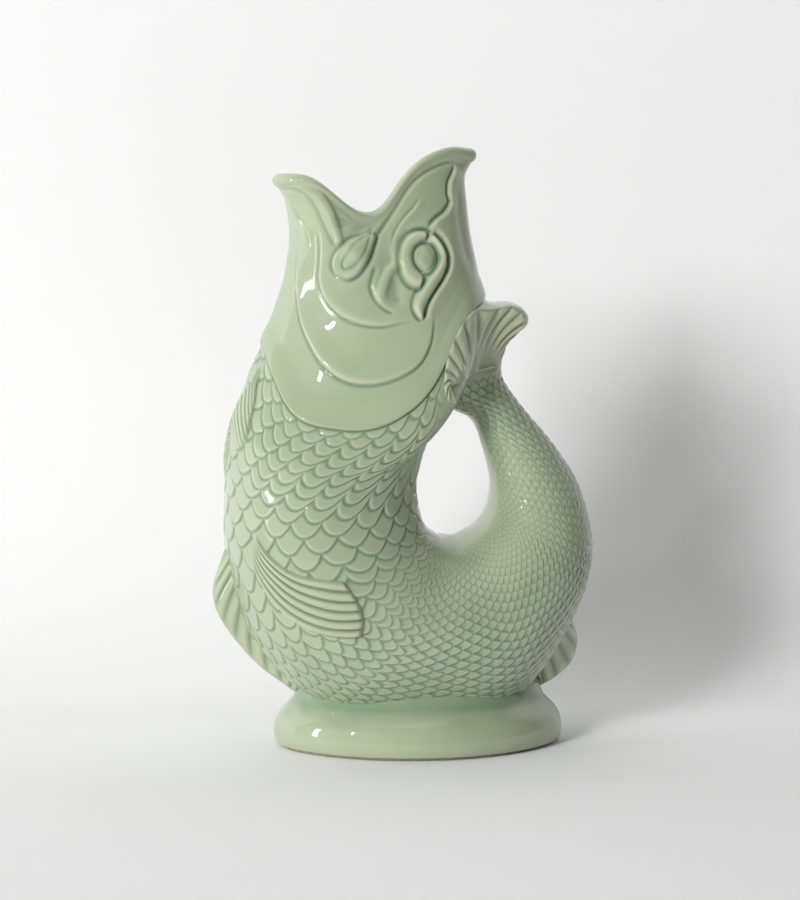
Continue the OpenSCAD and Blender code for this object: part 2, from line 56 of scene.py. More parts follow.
# One row a station down the fish: the belly side's place and the back side's place in the side
# view, the half width, the ring's sag, its squareness, and how much wider it is at the belly
STATIONS = np.array([
    [-0.344, 0.934, 0.188, 0.983, 0.41, 0.086, 2.00, 0.42],
    [-0.317, 0.898, 0.164, 0.947, 0.50, 0.106, 2.00, 0.30],
    [-0.307, 0.838, 0.167, 0.901, 0.61, 0.121, 2.00, 0.15],
    [-0.321, 0.767, 0.175, 0.846, 0.70, 0.139, 2.05, 0.05],
    [-0.348, 0.707, 0.192, 0.787, 0.78, 0.169, 2.10, 0.04],
    [-0.377, 0.649, 0.208, 0.723, 0.83, 0.196, 2.10, 0.12],
    [-0.420, 0.577, 0.195, 0.637, 0.87, 0.165, 2.00, 0.24],
    [-0.461, 0.486, 0.101, 0.541, 0.92, 0.110, 2.05, 0.22],
    [-0.478, 0.367, 0.030, 0.407, 0.96, 0.051, 2.15, 0.08],
    [-0.471, 0.243, 0.041, 0.324, 1.00, 0.022, 2.20, 0.00],
    [-0.400, 0.094, 0.081, 0.293, 1.00, 0.009, 2.20, 0.00],
    [-0.206, -0.026, 0.114, 0.287, 0.98, 0.000, 2.05, 0.00],
    [0.071, -0.045, 0.141, 0.287, 0.94, 0.000, 2.00, 0.00],
    [0.290, -0.016, 0.171, 0.296, 0.87, 0.000, 2.05, 0.00],
    [0.440, 0.117, 0.204, 0.310, 0.76, 0.000, 2.15, 0.00],
    [0.507, 0.243, 0.229, 0.342, 0.61, 0.000, 2.10, 0.00],
    [0.479, 0.365, 0.234, 0.390, 0.46, 0.000, 2.05, 0.00],
    [0.409, 0.448, 0.212, 0.450, 0.33, 0.000, 2.00, 0.00],
    [0.321, 0.521, 0.180, 0.500, 0.25, 0.000, 2.00, 0.00],
    [0.269, 0.572, 0.106, 0.528, 0.23, 0.000, 2.00, 0.00],
    [0.262, 0.604, 0.076, 0.578, 0.24, 0.000, 2.00, 0.00],
])
# The last station, the collar's, and where the hollow of the tail ends
LAST = len(STATIONS) - 1
COLLAR = 5.0
CAVITY_END = LAST - 1.6
# The mouth's notch: its angle from the belly, how steep its sides are, and where it fades out
NOTCH_ANGLE, NOTCH_FRONT, NOTCH_BACK, NOTCH_FADE = 84.0, 12.0, 15.0, 3.0
# How many stations the rows by the collar lie off their own, from the belly round to the back
COLLAR_SHIFTS = [-0.05, 0.33, 0.62, 0.20, -0.22, -0.65, -1.05, -0.90, -0.30, 0.00]


def along(rows, t):
    """Places on the smooth curve through rows, t counted in rows."""
    rows = np.asarray(rows, float)
    if rows.ndim == 1:
        return along(rows[:, None], t)[..., 0]
    ends = np.vstack([2 * rows[0] - rows[1], rows, 2 * rows[-1] - rows[-2]])
    k = np.clip(np.floor(t).astype(int), 0, len(rows) - 2)
    t = (t - k)[..., None]
    p, q, r, s = ends[k], ends[k + 1], ends[k + 2], ends[k + 3]
    return (2 * q + (r - p) * t + (2 * p - 5 * q + 4 * r - s) * t ** 2
            + (3 * q - p - 3 * r + s) * t ** 3) / 2


def along_share(rows, t):
    """The same, with t as a share of the whole way."""
    return along(rows, t * (len(rows) - 1))


def ramp(x, low, high):
    """A smooth step from 0 at low to 1 at high."""
    t = np.clip((x - low) / (high - low), 0, 1)
    return t * t * (3 - 2 * t)


def bell(x, width):
    """One at zero, falling away over a width."""
    return np.exp(-(x / width) ** 2)


def unit(vectors):
    """The vectors brought to a length of one."""
    return vectors / np.maximum(np.linalg.norm(vectors, axis=-1, keepdims=True), 1e-12)


def lattice(x, y):
    """Two grids, of x down the rows and of y along them."""
    return np.meshgrid(x, y, indexing="ij")


def side(x, z):
    """A place in the side view from its shares of the fish's length and height."""
    return x * JUG_L, FOOT_H + z * FISH_H


def from_belly(a):
    """The angle from the belly's mid-line, on whichever flank."""
    a = a % 360
    return np.where(a > 180, 360 - a, a)


def sag(v, a):
    """How much of a station's sag its ring has at an angle, with the mouth's notch."""
    c, s = np.cos(np.radians(a)), np.sin(np.radians(a))
    off = from_belly(a) - NOTCH_ANGLE
    power = np.where(off < 0, NOTCH_FRONT, NOTCH_BACK)
    notch = np.cos(np.radians(np.clip(off, -90, 90))) ** power
    even = np.where(c > 0, np.abs(s) ** 1.4, s * s)
    near_mouth = np.maximum(0, 1 - v / NOTCH_FADE)
    return near_mouth * notch + (1 - near_mouth) * even


def skin(v, a):
    """Points of the fish's smooth outer surface at stations v and angles a in degrees."""
    v, a = np.broadcast_arrays(np.asarray(v, float), np.asarray(a, float))
    s = along(STATIONS, v)
    bx, bz = side(s[..., 0], s[..., 1])
    kx, kz = side(s[..., 2], s[..., 3])
    rx, rz = (bx - kx) / 2, (bz - kz) / 2
    reach = np.hypot(rx, rz)
    c, w = np.cos(np.radians(a)), np.sin(np.radians(a))
    u = np.sign(c) * np.abs(c) ** (2 / s[..., 6])
    across = np.sign(w) * np.abs(w) ** (2 / s[..., 6]) * (1 + s[..., 7] * c)
    drop = sag(v, a) * s[..., 5] * FISH_H / reach
    x = (bx + kx) / 2 + rx * u - rz * drop
    y = -s[..., 4] * JUG_W / 2 * across
    z = (bz + kz) / 2 + rz * u + rx * drop
    near_rim = 1 - ramp(v, 0.2, 1.6)
    hump = LIP_HUMP * (bell(from_belly(a) - 138, 19) - 0.25 * bell(from_belly(a) - 180, 11))
    return np.stack([x + LIP_SKEW * y * near_rim, y, z + hump * near_rim], -1)


def outward(v, a, dv=0.03, da=1.5):
    """The smooth surface's outward normals there."""
    lower, upper = np.maximum(v - dv, 0), np.minimum(v + dv, LAST)
    return unit(np.cross(skin(upper, a) - skin(lower, a), skin(v, a + da) - skin(v, a - da)))


def above(v, a, rise):
    """Points that far above the smooth surface, or under it where rise is below zero."""
    return skin(v, a) + rise * outward(v, a)


def flow(v, a):
    """The stations that a row near the collar runs through, as it follows the collar's edge."""
    near = np.where(v < COLLAR, ramp(v, 2.2, COLLAR), 1 - ramp(v, COLLAR, 8.5))
    return v + near * along_share(COLLAR_SHIFTS, from_belly(a) / 180)


# Meshes

def ring_faces(rows, columns, wrap):
    """Quads between rows of points that are closed rings."""
    k = np.arange(rows if wrap else rows - 1)[:, None]
    i = np.arange(columns)[None, :]
    j, m = (i + 1) % columns, (k + 1) % rows
    return np.stack([k * columns + i, m * columns + i, m * columns + j, k * columns + j],
                    -1).reshape(-1, 4)


def cap_faces(ring, pole, flip):
    """Triangles from a ring of point numbers to its pole."""
    nxt = np.roll(ring, -1)
    a, b = (nxt, ring) if flip else (ring, nxt)
    return np.stack([a, b, np.full(len(ring), pole)], -1)


def ring_points(columns, *rows):
    """The numbers of the points on each of some rings."""
    return [np.arange(k * columns, (k + 1) * columns) for k in rows]


def capped(rows, flip):
    """Points and faces of a closed solid over rows of rings, with a pole at either end."""
    n, m = rows.shape[:2]
    points = np.vstack([rows.reshape(-1, 3), rows[0].mean(0), rows[-1].mean(0)])
    quads = ring_faces(n, m, False)
    first, last = ring_points(m, 0, n - 1)
    return points, [quads[:, ::-1] if flip else quads, cap_faces(first, n * m, not flip),
                    cap_faces(last, n * m + 1, flip)]


def mesh_piece(name, points, faces, values=None, sharp_lines=(), mirrored=False):
    """A smooth-shaded mesh object with float or vector values on its points."""
    if mirrored:
        points = points * MIRROR
        faces = [group[:, ::-1] for group in faces]
        if "out" in values:
            values["out"] = values["out"] * MIRROR
    mesh = bpy.data.meshes.new(name)
    mesh.from_pydata(points.tolist(), [], [f for group in faces for f in group.tolist()])
    for key, data in (values or {}).items():
        kind = "FLOAT_VECTOR" if data.ndim > 1 else "FLOAT"
        layer = mesh.attributes.new(key, kind, "POINT")
        layer.data.foreach_set("vector" if data.ndim > 1 else "value",
                               data.astype(np.float32).ravel())
    mesh.polygons.foreach_set("use_smooth", [True] * len(mesh.polygons))
    mark_sharp(mesh, sharp_lines)
    mesh.update()
    piece = bpy.data.objects.new(name, mesh)
    bpy.context.scene.collection.objects.link(piece)
    return piece


def mark_sharp(mesh, lines):
    """Marks the edges along lines of points, each given as the points' numbers, as sharp."""
    ends = np.zeros(len(mesh.edges) * 2, int)
    mesh.edges.foreach_get("vertices", ends)
    ends = ends.reshape(-1, 2)
    sharp = np.zeros(len(ends), bool)
    for line in lines:
        on = np.zeros(len(mesh.vertices), bool)
        on[line] = True
        sharp |= on[ends].all(1)
    mesh.attributes.new("sharp_edge", "BOOLEAN", "EDGE").data.foreach_set("value", sharp)


def blurred(field, passes=3, rings=True):
    """A field over rows of rings, or over a plain sheet, averaged with its neighbours."""
    for _ in range(passes):
        field = np.pad(field, ((1, 1), (0, 0)), "edge")
        field = (field[:-2] + field[1:-1] + field[2:]) / 3
        field = np.pad(field, ((0, 0), (1, 1)), "wrap" if rings else "edge")
        field = (field[:, :-2] + field[:, 1:-1] + field[:, 2:]) / 3
    return field


# The head's modelling

class Stroke:
    """A modelled line on the flank through (station, angle) places, and what it does there.

    groove is its depth and width, ridge its height and its widths along its way, and lift how
    far the surface stands up beside it and how wide that spreads. A lift above zero is on the
    right of the line's way, as seen from outside. All are in millimetres.
    """

    def __init__(self, places, groove=None, ridge=None, lift=None, ends=0.12, closed=False):
        places = np.array(places, float)
        t = np.linspace(0, len(places) - 1, 24 * len(places))
        on = along(places, t)
        self.points = skin(*on.T)
        self.right = np.cross(unit(np.gradient(self.points, axis=0)), outward(*on.T))
        self.share = t / t[-1]
        fade = np.minimum(ramp(self.share, 0, ends), ramp(1 - self.share, 0, ends))
        self.fade = np.ones_like(fade) if closed else fade
        self.groove, self.ridge, self.lift = groove, ridge, lift

    def reach(self):
        """How far from the line it still changes the surface."""
        widths = [w for part in (self.groove, self.ridge, self.lift) if part for w in part[1:]]
        return 3 * max(widths) * MM

    def height(self, places):
        """What the line adds to the surface's height at places on the left flank, in metres."""
        out = np.zeros(len(places))
        low, high = self.points.min(0) - self.reach(), self.points.max(0) + self.reach()
        near = np.flatnonzero(((places > low) & (places < high)).all(1))
        for part in np.array_split(near, max(1, len(near) // 4000)):
            if len(part):
                out[part] = self.height_near(places[part])
        return out

    def height_near(self, p):
        """The same for a few places, each from the nearest point of the line."""
        gap = p[:, None, :] - self.points[None]
        k = (gap ** 2).sum(-1).argmin(1)
        gap = gap[np.arange(len(p)), k]
        d = np.linalg.norm(gap, axis=1) / MM
        beside = (gap * self.right[k]).sum(1) / MM
        fade, share = self.fade[k], self.share[k]
        h = np.zeros(len(p))
        if self.groove:
            depth, width = self.groove
            h -= depth * bell(d, width)
        if self.ridge:
            tall, *widths = self.ridge
            wide = np.interp(share, np.linspace(0, 1, len(widths)), widths)
            h += tall * np.exp(-np.abs(d / wide) ** 3)
        if self.lift:
            tall, spread = self.lift
            beside = beside * np.sign(tall)
            h += abs(tall) * ramp(beside, -0.5, 0.9) * bell(d, spread)
        return h * fade * MM


# The eye's place as station and angle, and the way along the head's flank beside it
EYE = (2.0, 109.0)
ALONG_FLANK = np.array([0.988, -0.156, 0.0])


def by_eye(*spots):
    """Places on the skin that many millimetres along the flank and up from the eye's middle."""
    aim = np.array(spots, float) * MM
    v, a = np.full(len(aim), EYE[0]), np.full(len(aim), EYE[1])
    for _ in range(25):
        gap = skin(v, a) - skin(*EYE)
        miss = aim - np.stack([gap @ ALONG_FLANK, gap[:, 2]], -1)
        by_v = (skin(v + 0.02, a) - skin(v - 0.02, a)) / 0.04
        by_a = skin(v, a + 0.5) - skin(v, a - 0.5)
        m = np.array([[by_v @ ALONG_FLANK, by_a @ ALONG_FLANK], [by_v[:, 2], by_a[:, 2]]])
        det = m[0, 0] * m[1, 1] - m[0, 1] * m[1, 0]
        v = v + 0.7 * (m[1, 1] * miss[:, 0] - m[0, 1] * miss[:, 1]) / det
        a = a + 0.7 * (m[0, 0] * miss[:, 1] - m[1, 0] * miss[:, 0]) / det
    return np.stack([v, a], -1)


def head_strokes():
    """The lines of the lips, cheeks and gill covers."""
    return [
        Stroke([(0.42, 165), (0.36, 145), (0.34, 134), (0.32, 122), (0.32, 112), (0.34, 103),
                (0.36, 95), (0.42, 90), (0.55, 85.5)] + list(map(tuple, by_eye(
                    (-20.8, 10), (-22.6, 4), (-25, -2), (-29, -7), (-33.5, -9), (-38.2, -7.6)))),
               groove=(1.3, 1.1), lift=(0.6, 3.5)),
        Stroke(by_eye((-20.5, 15.5), (-24.3, 11.8), (-29.5, 9.6), (-35, 7.4), (-39.5, 2.6),
                      (-41, -2.7), (-38.8, -7.4), (-33.5, -9)), groove=(0.8, 0.8), ends=0.25),
        Stroke(by_eye((-21.5, 14), (-25.5, 8.5), (-30, 3.2), (-34.5, -2.8)),
               ridge=(1.7, 1.6, 3.6, 5.2, 5.6), ends=0.3),
        Stroke(by_eye((-23.6, 11), (-28.6, 7.6), (-33.6, 2.3), (-36.1, -2.4), (-34.6, -4.6),
                      (-30.4, -2.4), (-26.2, 3.2), (-23.6, 11)), groove=(0.6, 0.6), closed=True),
        Stroke([(0.3, 10), (0.3, 28), (0.36, 37), (0.6, 44), (0.85, 46), (1.1, 46.5), (1.45, 48.5),
                (1.7, 53)], groove=(0.8, 1.3), lift=(-0.6, 3), ends=0.08),
        Stroke([(0.2, 47), (0.4, 54), (0.7, 56), (1.0, 56), (1.4, 55), (1.6, 54)],
               ridge=(1.4, 2.2, 1.6), ends=0.2),
        Stroke([(0.35, 68), (0.75, 64), (1.1, 61)], groove=(0.8, 3.4), ends=0.3),
        Stroke([(1.45, 77), (1.8, 73), (2.12, 70.5), (2.36, 73), (2.52, 79), (2.6, 84)],
               groove=(0.8, 0.9)),
        Stroke([(0.7, 94), (1.4, 90), (1.6, 84), (1.95, 78.5), (2.25, 76.5), (2.46, 81)],
               ridge=(1.4, 1.8, 2.6), ends=0.25),
        Stroke([(1.75, 88), (2.0, 86), (2.25, 86), (2.4, 90)], groove=(0.8, 2.2), ends=0.3),
        Stroke([(0.85, 117), (0.92, 109), (0.85, 100), (0.9, 94), (1.1, 89)],
               groove=(0.6, 0.9), lift=(-0.6, 2.2), ends=0.3),
        Stroke([(0.4, 147), (0.7, 145), (0.95, 140), (1.2, 138), (1.4, 138), (1.5, 131),
                (1.5, 121), (1.58, 114)], groove=(1.5, 1.1), lift=(-1.2, 3.6)),
        Stroke([(1.1, 152), (2.0, 147), (2.8, 148), (3.7, 151)], groove=(0.9, 3.6), ends=0.3),
        Stroke([(1.3, 39), (1.7, 39.5), (2.1, 38), (2.45, 37), (2.7, 40), (2.84, 46), (2.9, 56),
                (2.87, 73), (2.8, 87), (2.85, 99)], groove=(0.6, 0.9), lift=(-0.8, 5), ends=0.2),
        Stroke([(0.7, 13), (1.15, 17), (1.7, 26), (2.1, 30)], ridge=(0.8, 2.4, 1.8), ends=0.4),
        Stroke([(1.7, 16), (2.25, 16.5), (2.7, 17.5), (3.2, 21.5), (3.6, 27.5), (3.9, 36),
                (4.1, 45), (4.15, 56), (4.08, 67), (3.98, 77), (3.86, 87), (3.7, 97), (3.42, 104),
                (3.1, 107), (2.9, 108)], groove=(0.6, 0.8), lift=(-1.3, 7), ends=0.2),
    ]


def eye_strokes():
    """The thick open ring round the eye, and the lid that sweeps down behind it to a point."""
    return [
        Stroke(by_eye((0.6, 10.2), (-4.6, 8.7), (-7.8, 4.6), (-8.5, 0.3), (-7.4, -5.2), (-3.9, -9.0),
                      (-1.6, -9.8)), ridge=(1.9, 1.3, 2.7, 2.8, 2.8, 3.1, 3.3, 2.4), ends=0.04),
        Stroke(by_eye((1.7, 9.5), (4.0, 7.3), (6.4, 3.4), (7.4, 0.0), (6.8, -3.6), (4.6, -7.3),
                      (1.9, -11.7), (-1.3, -17), (-2.8, -20.4), (-2.7, -23.5), (-1.7, -26.7)),
               ridge=(2.0, 0.8, 1.4, 1.3, 1.4, 1.7, 2.2, 2.4, 2.4, 2.2, 1.6, 0.7), ends=0.06),
        Stroke(by_eye((2.9, 11.7), (6.8, 8.6), (9.3, 4.4), (10.3, 0), (9.7, -4.9), (7.3, -9.7),
                      (4.2, -14.1), (1.5, -18.6), (0, -23.3), (-1.2, -26.9)),
               groove=(1.7, 0.95), lift=(-1.0, 5), ends=0.1),
        Stroke(by_eye((3.2, 12), (-0.5, 12.5), (-4.8, 12.2), (-8.9, 9.8), (-11.3, 4.8), (-11.9, -1),
                      (-11, -6.8), (-8.8, -10.6), (-5.4, -13), (-2, -12.6)),
               groove=(1.0, 1.1), ends=0.08),
        Stroke(by_eye((0.4, -6.6), (-0.3, -9.7), (-1.9, -12.6), (-4.4, -14.6), (-5.9, -18.4),
                      (-5.7, -22.3), (-4, -25.2), (-1.8, -27)), groove=(0.9, 0.75), ends=0.08),
        Stroke(by_eye((-0.4, 6.7), (3.5, 4.8), (5.2, 0.4), (4.2, -4), (1.4, -6.8), (-2.4, -5.4),
                      (-5.0, -1.8), (-5.4, 2.3), (-3.6, 5.4), (-0.4, 6.7)),
               groove=(1.2, 0.8), closed=True),
        Stroke(by_eye((0.4, 7.2), (0.7, 9), (1.6, 11.2), (2.6, 12.4)), groove=(0.9, 0.6), ends=0.15),
    ]


HEAD_STROKES = head_strokes() + eye_strokes()
# The part of the head that the left eyelid's piece takes up
EYELID_STATIONS = (1.28, 2.95)
EYELID_ANGLES = (91.0, 127.0)
# How thick that piece is, and how far the head is drawn in under it, in millimetres
LID_THICK, UNDER_LID = 2.0, 2.4
COLLAR_ROUND = 4.93
# The relief that counts as one whole step of pooled glaze
POOL_RELIEF = 0.75 * MM


def left_flank(points):
    """The same places on the left flank."""
    out = points.copy()
    out[:, 1] = -np.abs(out[:, 1])
    return out


def head_height(v, points):
    """The head's modelling, and the collar's step at its end."""
    round_off = np.sqrt(1 - np.clip((v - COLLAR_ROUND) / (COLLAR - COLLAR_ROUND), 0, 0.97) ** 2)
    collar = (COLLAR_STEP * ramp(v, 4.2, COLLAR) * round_off).ravel()
    return collar + sum(s.height(left_flank(points)) for s in HEAD_STROKES)


def rim_up(a):
    """The way out of the mouth at angles round its rim."""
    return unit(skin(0.0, a) - skin(0.1, a))


def lip_rows(a, turns):
    """The roll round the mouth, one row for each turn round the roll in degrees."""
    n = outward(0.0, a)
    middle = skin(0.0, a) - n * WALL / 2
    return np.array([middle + LIP_R * (n * math.cos(t) + rim_up(a) * math.sin(t))
                     for t in np.radians(turns)])


class HeadSkin:
    """The head's modelled outer surface as one grid, from under the lip to the collar."""

    def __init__(self, columns=520):
        self.angles = np.arange(columns) * 360 / columns
        self.stations = np.concatenate([np.linspace(0.24, 1, 34)[:-1], np.linspace(1, 4.9, 106),
                                        np.linspace(4.9, COLLAR, 13)[1:]])
        v, a = lattice(self.stations, self.angles)
        w = flow(v, a)
        smooth = skin(w, a)
        self.out = outward(w, a)
        height = head_height(v, smooth.reshape(-1, 3)).reshape(w.shape)
        self.points = smooth + self.out * height[..., None]
        self.pool = (blurred(height, 5) - height) / POOL_RELIEF

    def window(self):
        """The rows and columns that the left eyelid's piece takes up."""
        rows = np.flatnonzero((self.stations > EYELID_STATIONS[0])
                              & (self.stations < EYELID_STATIONS[1]))
        columns = np.flatnonzero((self.angles > EYELID_ANGLES[0])
                                 & (self.angles < EYELID_ANGLES[1]))
        return rows, columns


def make_head(grid, inner_rows=16):
    """The head's hollow wall, with its skin drawn in under the two eyelids."""
    a = grid.angles
    columns = len(a)
    outer = grid.points.copy()
    border = []
    rows, across = grid.window()
    for side_columns in (across, columns - across):
        deep = np.ix_(rows[1:-1], np.sort(side_columns)[1:-1])
        outer[deep] -= grid.out[deep] * UNDER_LID * MM
        border.append((rows, np.sort(side_columns)))
    inner_v, inner_a = lattice(np.linspace(COLLAR, 0.25, inner_rows), a)
    inner = above(flow(inner_v, inner_a), inner_a, -WALL)
    lip = lip_rows(a, np.linspace(220, -40, 14))
    seam = skin(flow(np.full(columns, COLLAR), a), a)[None]
    everything = np.concatenate([inner, lip, outer, seam])
    pool = np.zeros(everything.shape[:2])
    first = len(inner) + len(lip)
    pool[first:first + len(outer)] = grid.pool
    last = len(everything) - 1
    sharp = ring_points(columns, 0, last - 1, last)
    for r, c in border:
        frame_rows = np.concatenate([np.full(len(c), r[0]), np.full(len(c), r[-1]), r, r])
        frame_columns = np.concatenate([c, c, np.full(len(r), c[0]), np.full(len(r), c[-1])])
        sharp.append(np.unique((frame_rows + first) * columns + frame_columns))
    return mesh_piece("head", everything.reshape(-1, 3),
                      [ring_faces(len(everything), columns, True)], {"pool": pool.ravel()}, sharp)


def make_eyelid(name, grid, mirrored):
    """The ring and lid round an eye, cut from the head's modelled surface."""
    r, c = grid.window()
    top, out = grid.points[np.ix_(r, c)].copy(), grid.out[np.ix_(r, c)]
    pool = grid.pool[np.ix_(r, c)]
    top[1:-1, 1:-1] += out[1:-1, 1:-1] * 0.01 * MM
    return plate(name, top, top - out * LID_THICK * MM, {"pool": pool}, mirrored)


def make_eye(name, mirrored, radius=6.0 * MM, rings=44, columns=150):
    """A round patch of skin that stands up as an egg of clay, closed underneath."""
    station, angle = EYE
    r = (np.arange(1, rings + 1) / rings) * radius
    turn = np.arange(columns) * 2 * math.pi / columns
    dv = np.linalg.norm(skin(station + 0.1, angle) - skin(station - 0.1, angle)) / 0.2
    da = np.linalg.norm(skin(station, angle + 2) - skin(station, angle - 2)) / 4
    v = station + np.concatenate([[0], np.outer(r, np.sin(turn)).ravel()]) / dv
    a = angle + np.concatenate([[0], np.outer(r, np.cos(turn)).ravel()]) / da
    base, n = skin(v, a), outward(v, a)
    height = eye_height(base)
    edge = np.concatenate([[0], np.repeat(r, columns)]) / radius
    top = base + n * (height - 1.2 * MM * ramp(edge, 0.9, 1.0))[:, None]
    last = 1 + (rings - 1) * columns
    under = np.vstack([base[last:] - n[last:] * 3 * MM, base[:1] - n[:1] * 3 * MM])
    points = np.vstack([top, under])
    pool = np.zeros(len(points))
    relief = height[1:].reshape(rings, columns)
    pool[1:len(top)] = ((blurred(relief, 5) - relief) / POOL_RELIEF).ravel()
    disc = ring_faces(rings + 1, columns, False) + 1
    pole = cap_faces(np.arange(1, columns + 1), 0, True)
    low = cap_faces(np.arange(len(top), len(top) + columns), len(points) - 1, False)
    return mesh_piece(name, points, [disc, pole, low], {"pool": pool}, (), mirrored)


def eye_height(points):
    """An egg of clay with its narrow end down."""
    gap = left_flank(points) - skin(*EYE)
    high = gap[:, 2] / MM
    wide = (gap @ ALONG_FLANK) / MM + 0.12 * high
    narrow = 1 + 0.05 * np.maximum(-high, 0)
    r = np.hypot(wide * narrow / 4.5, high / 5.6)
    return (2.2 * np.maximum(1 - r ** 2.8, 0) ** 0.62 - 0.9) * MM


# Node trees

class Nodes:
    """Adds nodes to a tree, and writes fields as sums."""

    def __init__(self, tree):
        self.tree = tree

    def add(self, kind, inputs=(), **settings):
        node = self.tree.nodes.new(kind)
        for key, value in settings.items():
            setattr(node, key, value)
        return self.put(node, inputs)

    def put(self, node, inputs):
        """Sets inputs, by name or number, each to a value or to what a field gives."""
        for key, term in dict(inputs).items():
            if isinstance(term, Field):
                self.tree.links.new(term.socket, node.inputs[key])
            else:
                node.inputs[key].default_value = term
        return node

    def out(self, node, key=0):
        return Field(self, node.outputs[key])

    def math(self, operation, *terms):
        return self.out(self.add("ShaderNodeMath", enumerate(terms), operation=operation))

    def named(self, name, kind="FLOAT"):
        node = self.add("GeometryNodeInputNamedAttribute", {"Name": name}, data_type=kind)
        return self.out(node, "Attribute")

    def smooth(self, x, low, high):
        return self.out(self.add("ShaderNodeMapRange", {0: x, 1: low, 2: high},
                                 interpolation_type="SMOOTHSTEP"))

    def bell(self, x, width):
        t = x / width
        return self.math("EXPONENT", t * t * -1.0)


class Field:
    """What a socket gives, to be used in sums."""

    def __init__(self, nodes, socket):
        self.nodes, self.socket = nodes, socket

    def __add__(self, other):
        return self.nodes.math("ADD", self, other)

    def __sub__(self, other):
        return self.nodes.math("SUBTRACT", self, other)

    def __mul__(self, other):
        return self.nodes.math("MULTIPLY", self, other)

    def __truediv__(self, other):
        return self.nodes.math("DIVIDE", self, other)

    __radd__, __rmul__ = __add__, __mul__

    def __rsub__(self, other):
        return self.nodes.math("SUBTRACT", other, self)


def new_tree(name, sizes):
    """A geometry tree with a geometry in and out and named sizes."""
    tree = bpy.data.node_groups.new(name, "GeometryNodeTree")
    tree.interface.new_socket("Geometry", in_out="INPUT", socket_type="NodeSocketGeometry")
    tree.interface.new_socket("Geometry", in_out="OUTPUT", socket_type="NodeSocketGeometry")
    for key, value in sizes.items():
        socket = tree.interface.new_socket(key, in_out="INPUT", socket_type="NodeSocketFloat")
        socket.default_value = value
    n = Nodes(tree)
    group_in = n.add("NodeGroupInput")
    return tree, n, group_in, {key: n.out(group_in, key) for key in sizes}


def raise_skin(n, group_in, height, pool, material):
    """Ends a tree: lifts the skin along its stored way out and stores the glaze's pooling."""
    lift = n.add("ShaderNodeVectorMath",
                 {0: n.named("out", "FLOAT_VECTOR"), "Scale": height}, operation="SCALE")
    store = n.add("GeometryNodeStoreNamedAttribute",
                  {"Geometry": n.out(group_in), "Name": "pool", "Value": pool},
                  data_type="FLOAT", domain="POINT")
    place = n.add("GeometryNodeSetPosition", {"Geometry": n.out(store), "Offset": n.out(lift)})
    real = n.add("GeometryNodeRealizeInstances", {0: n.out(place)})
    paint = n.add("GeometryNodeSetMaterial", {"Geometry": n.out(real), "Material": material})
    n.add("NodeGroupOutput", {0: n.out(paint)})


def grown(piece, tree, sizes):
    """The piece with a tree's work made plain mesh."""
    modifier = piece.modifiers.new(tree.name, "NODES")
    modifier.node_group = tree
    for item in tree.interface.items_tree:
        if item.in_out == "INPUT" and item.name in sizes:
            modifier[item.identifier] = float(sizes[item.name])
    bpy.context.view_layer.update()
    graph = bpy.context.evaluated_depsgraph_get()
    mesh = bpy.data.meshes.new_from_object(piece.evaluated_get(graph), depsgraph=graph)
    piece.modifiers.remove(modifier)
    old = piece.data
    piece.data = mesh
    bpy.data.meshes.remove(old)
    mesh.name = piece.name
    return piece


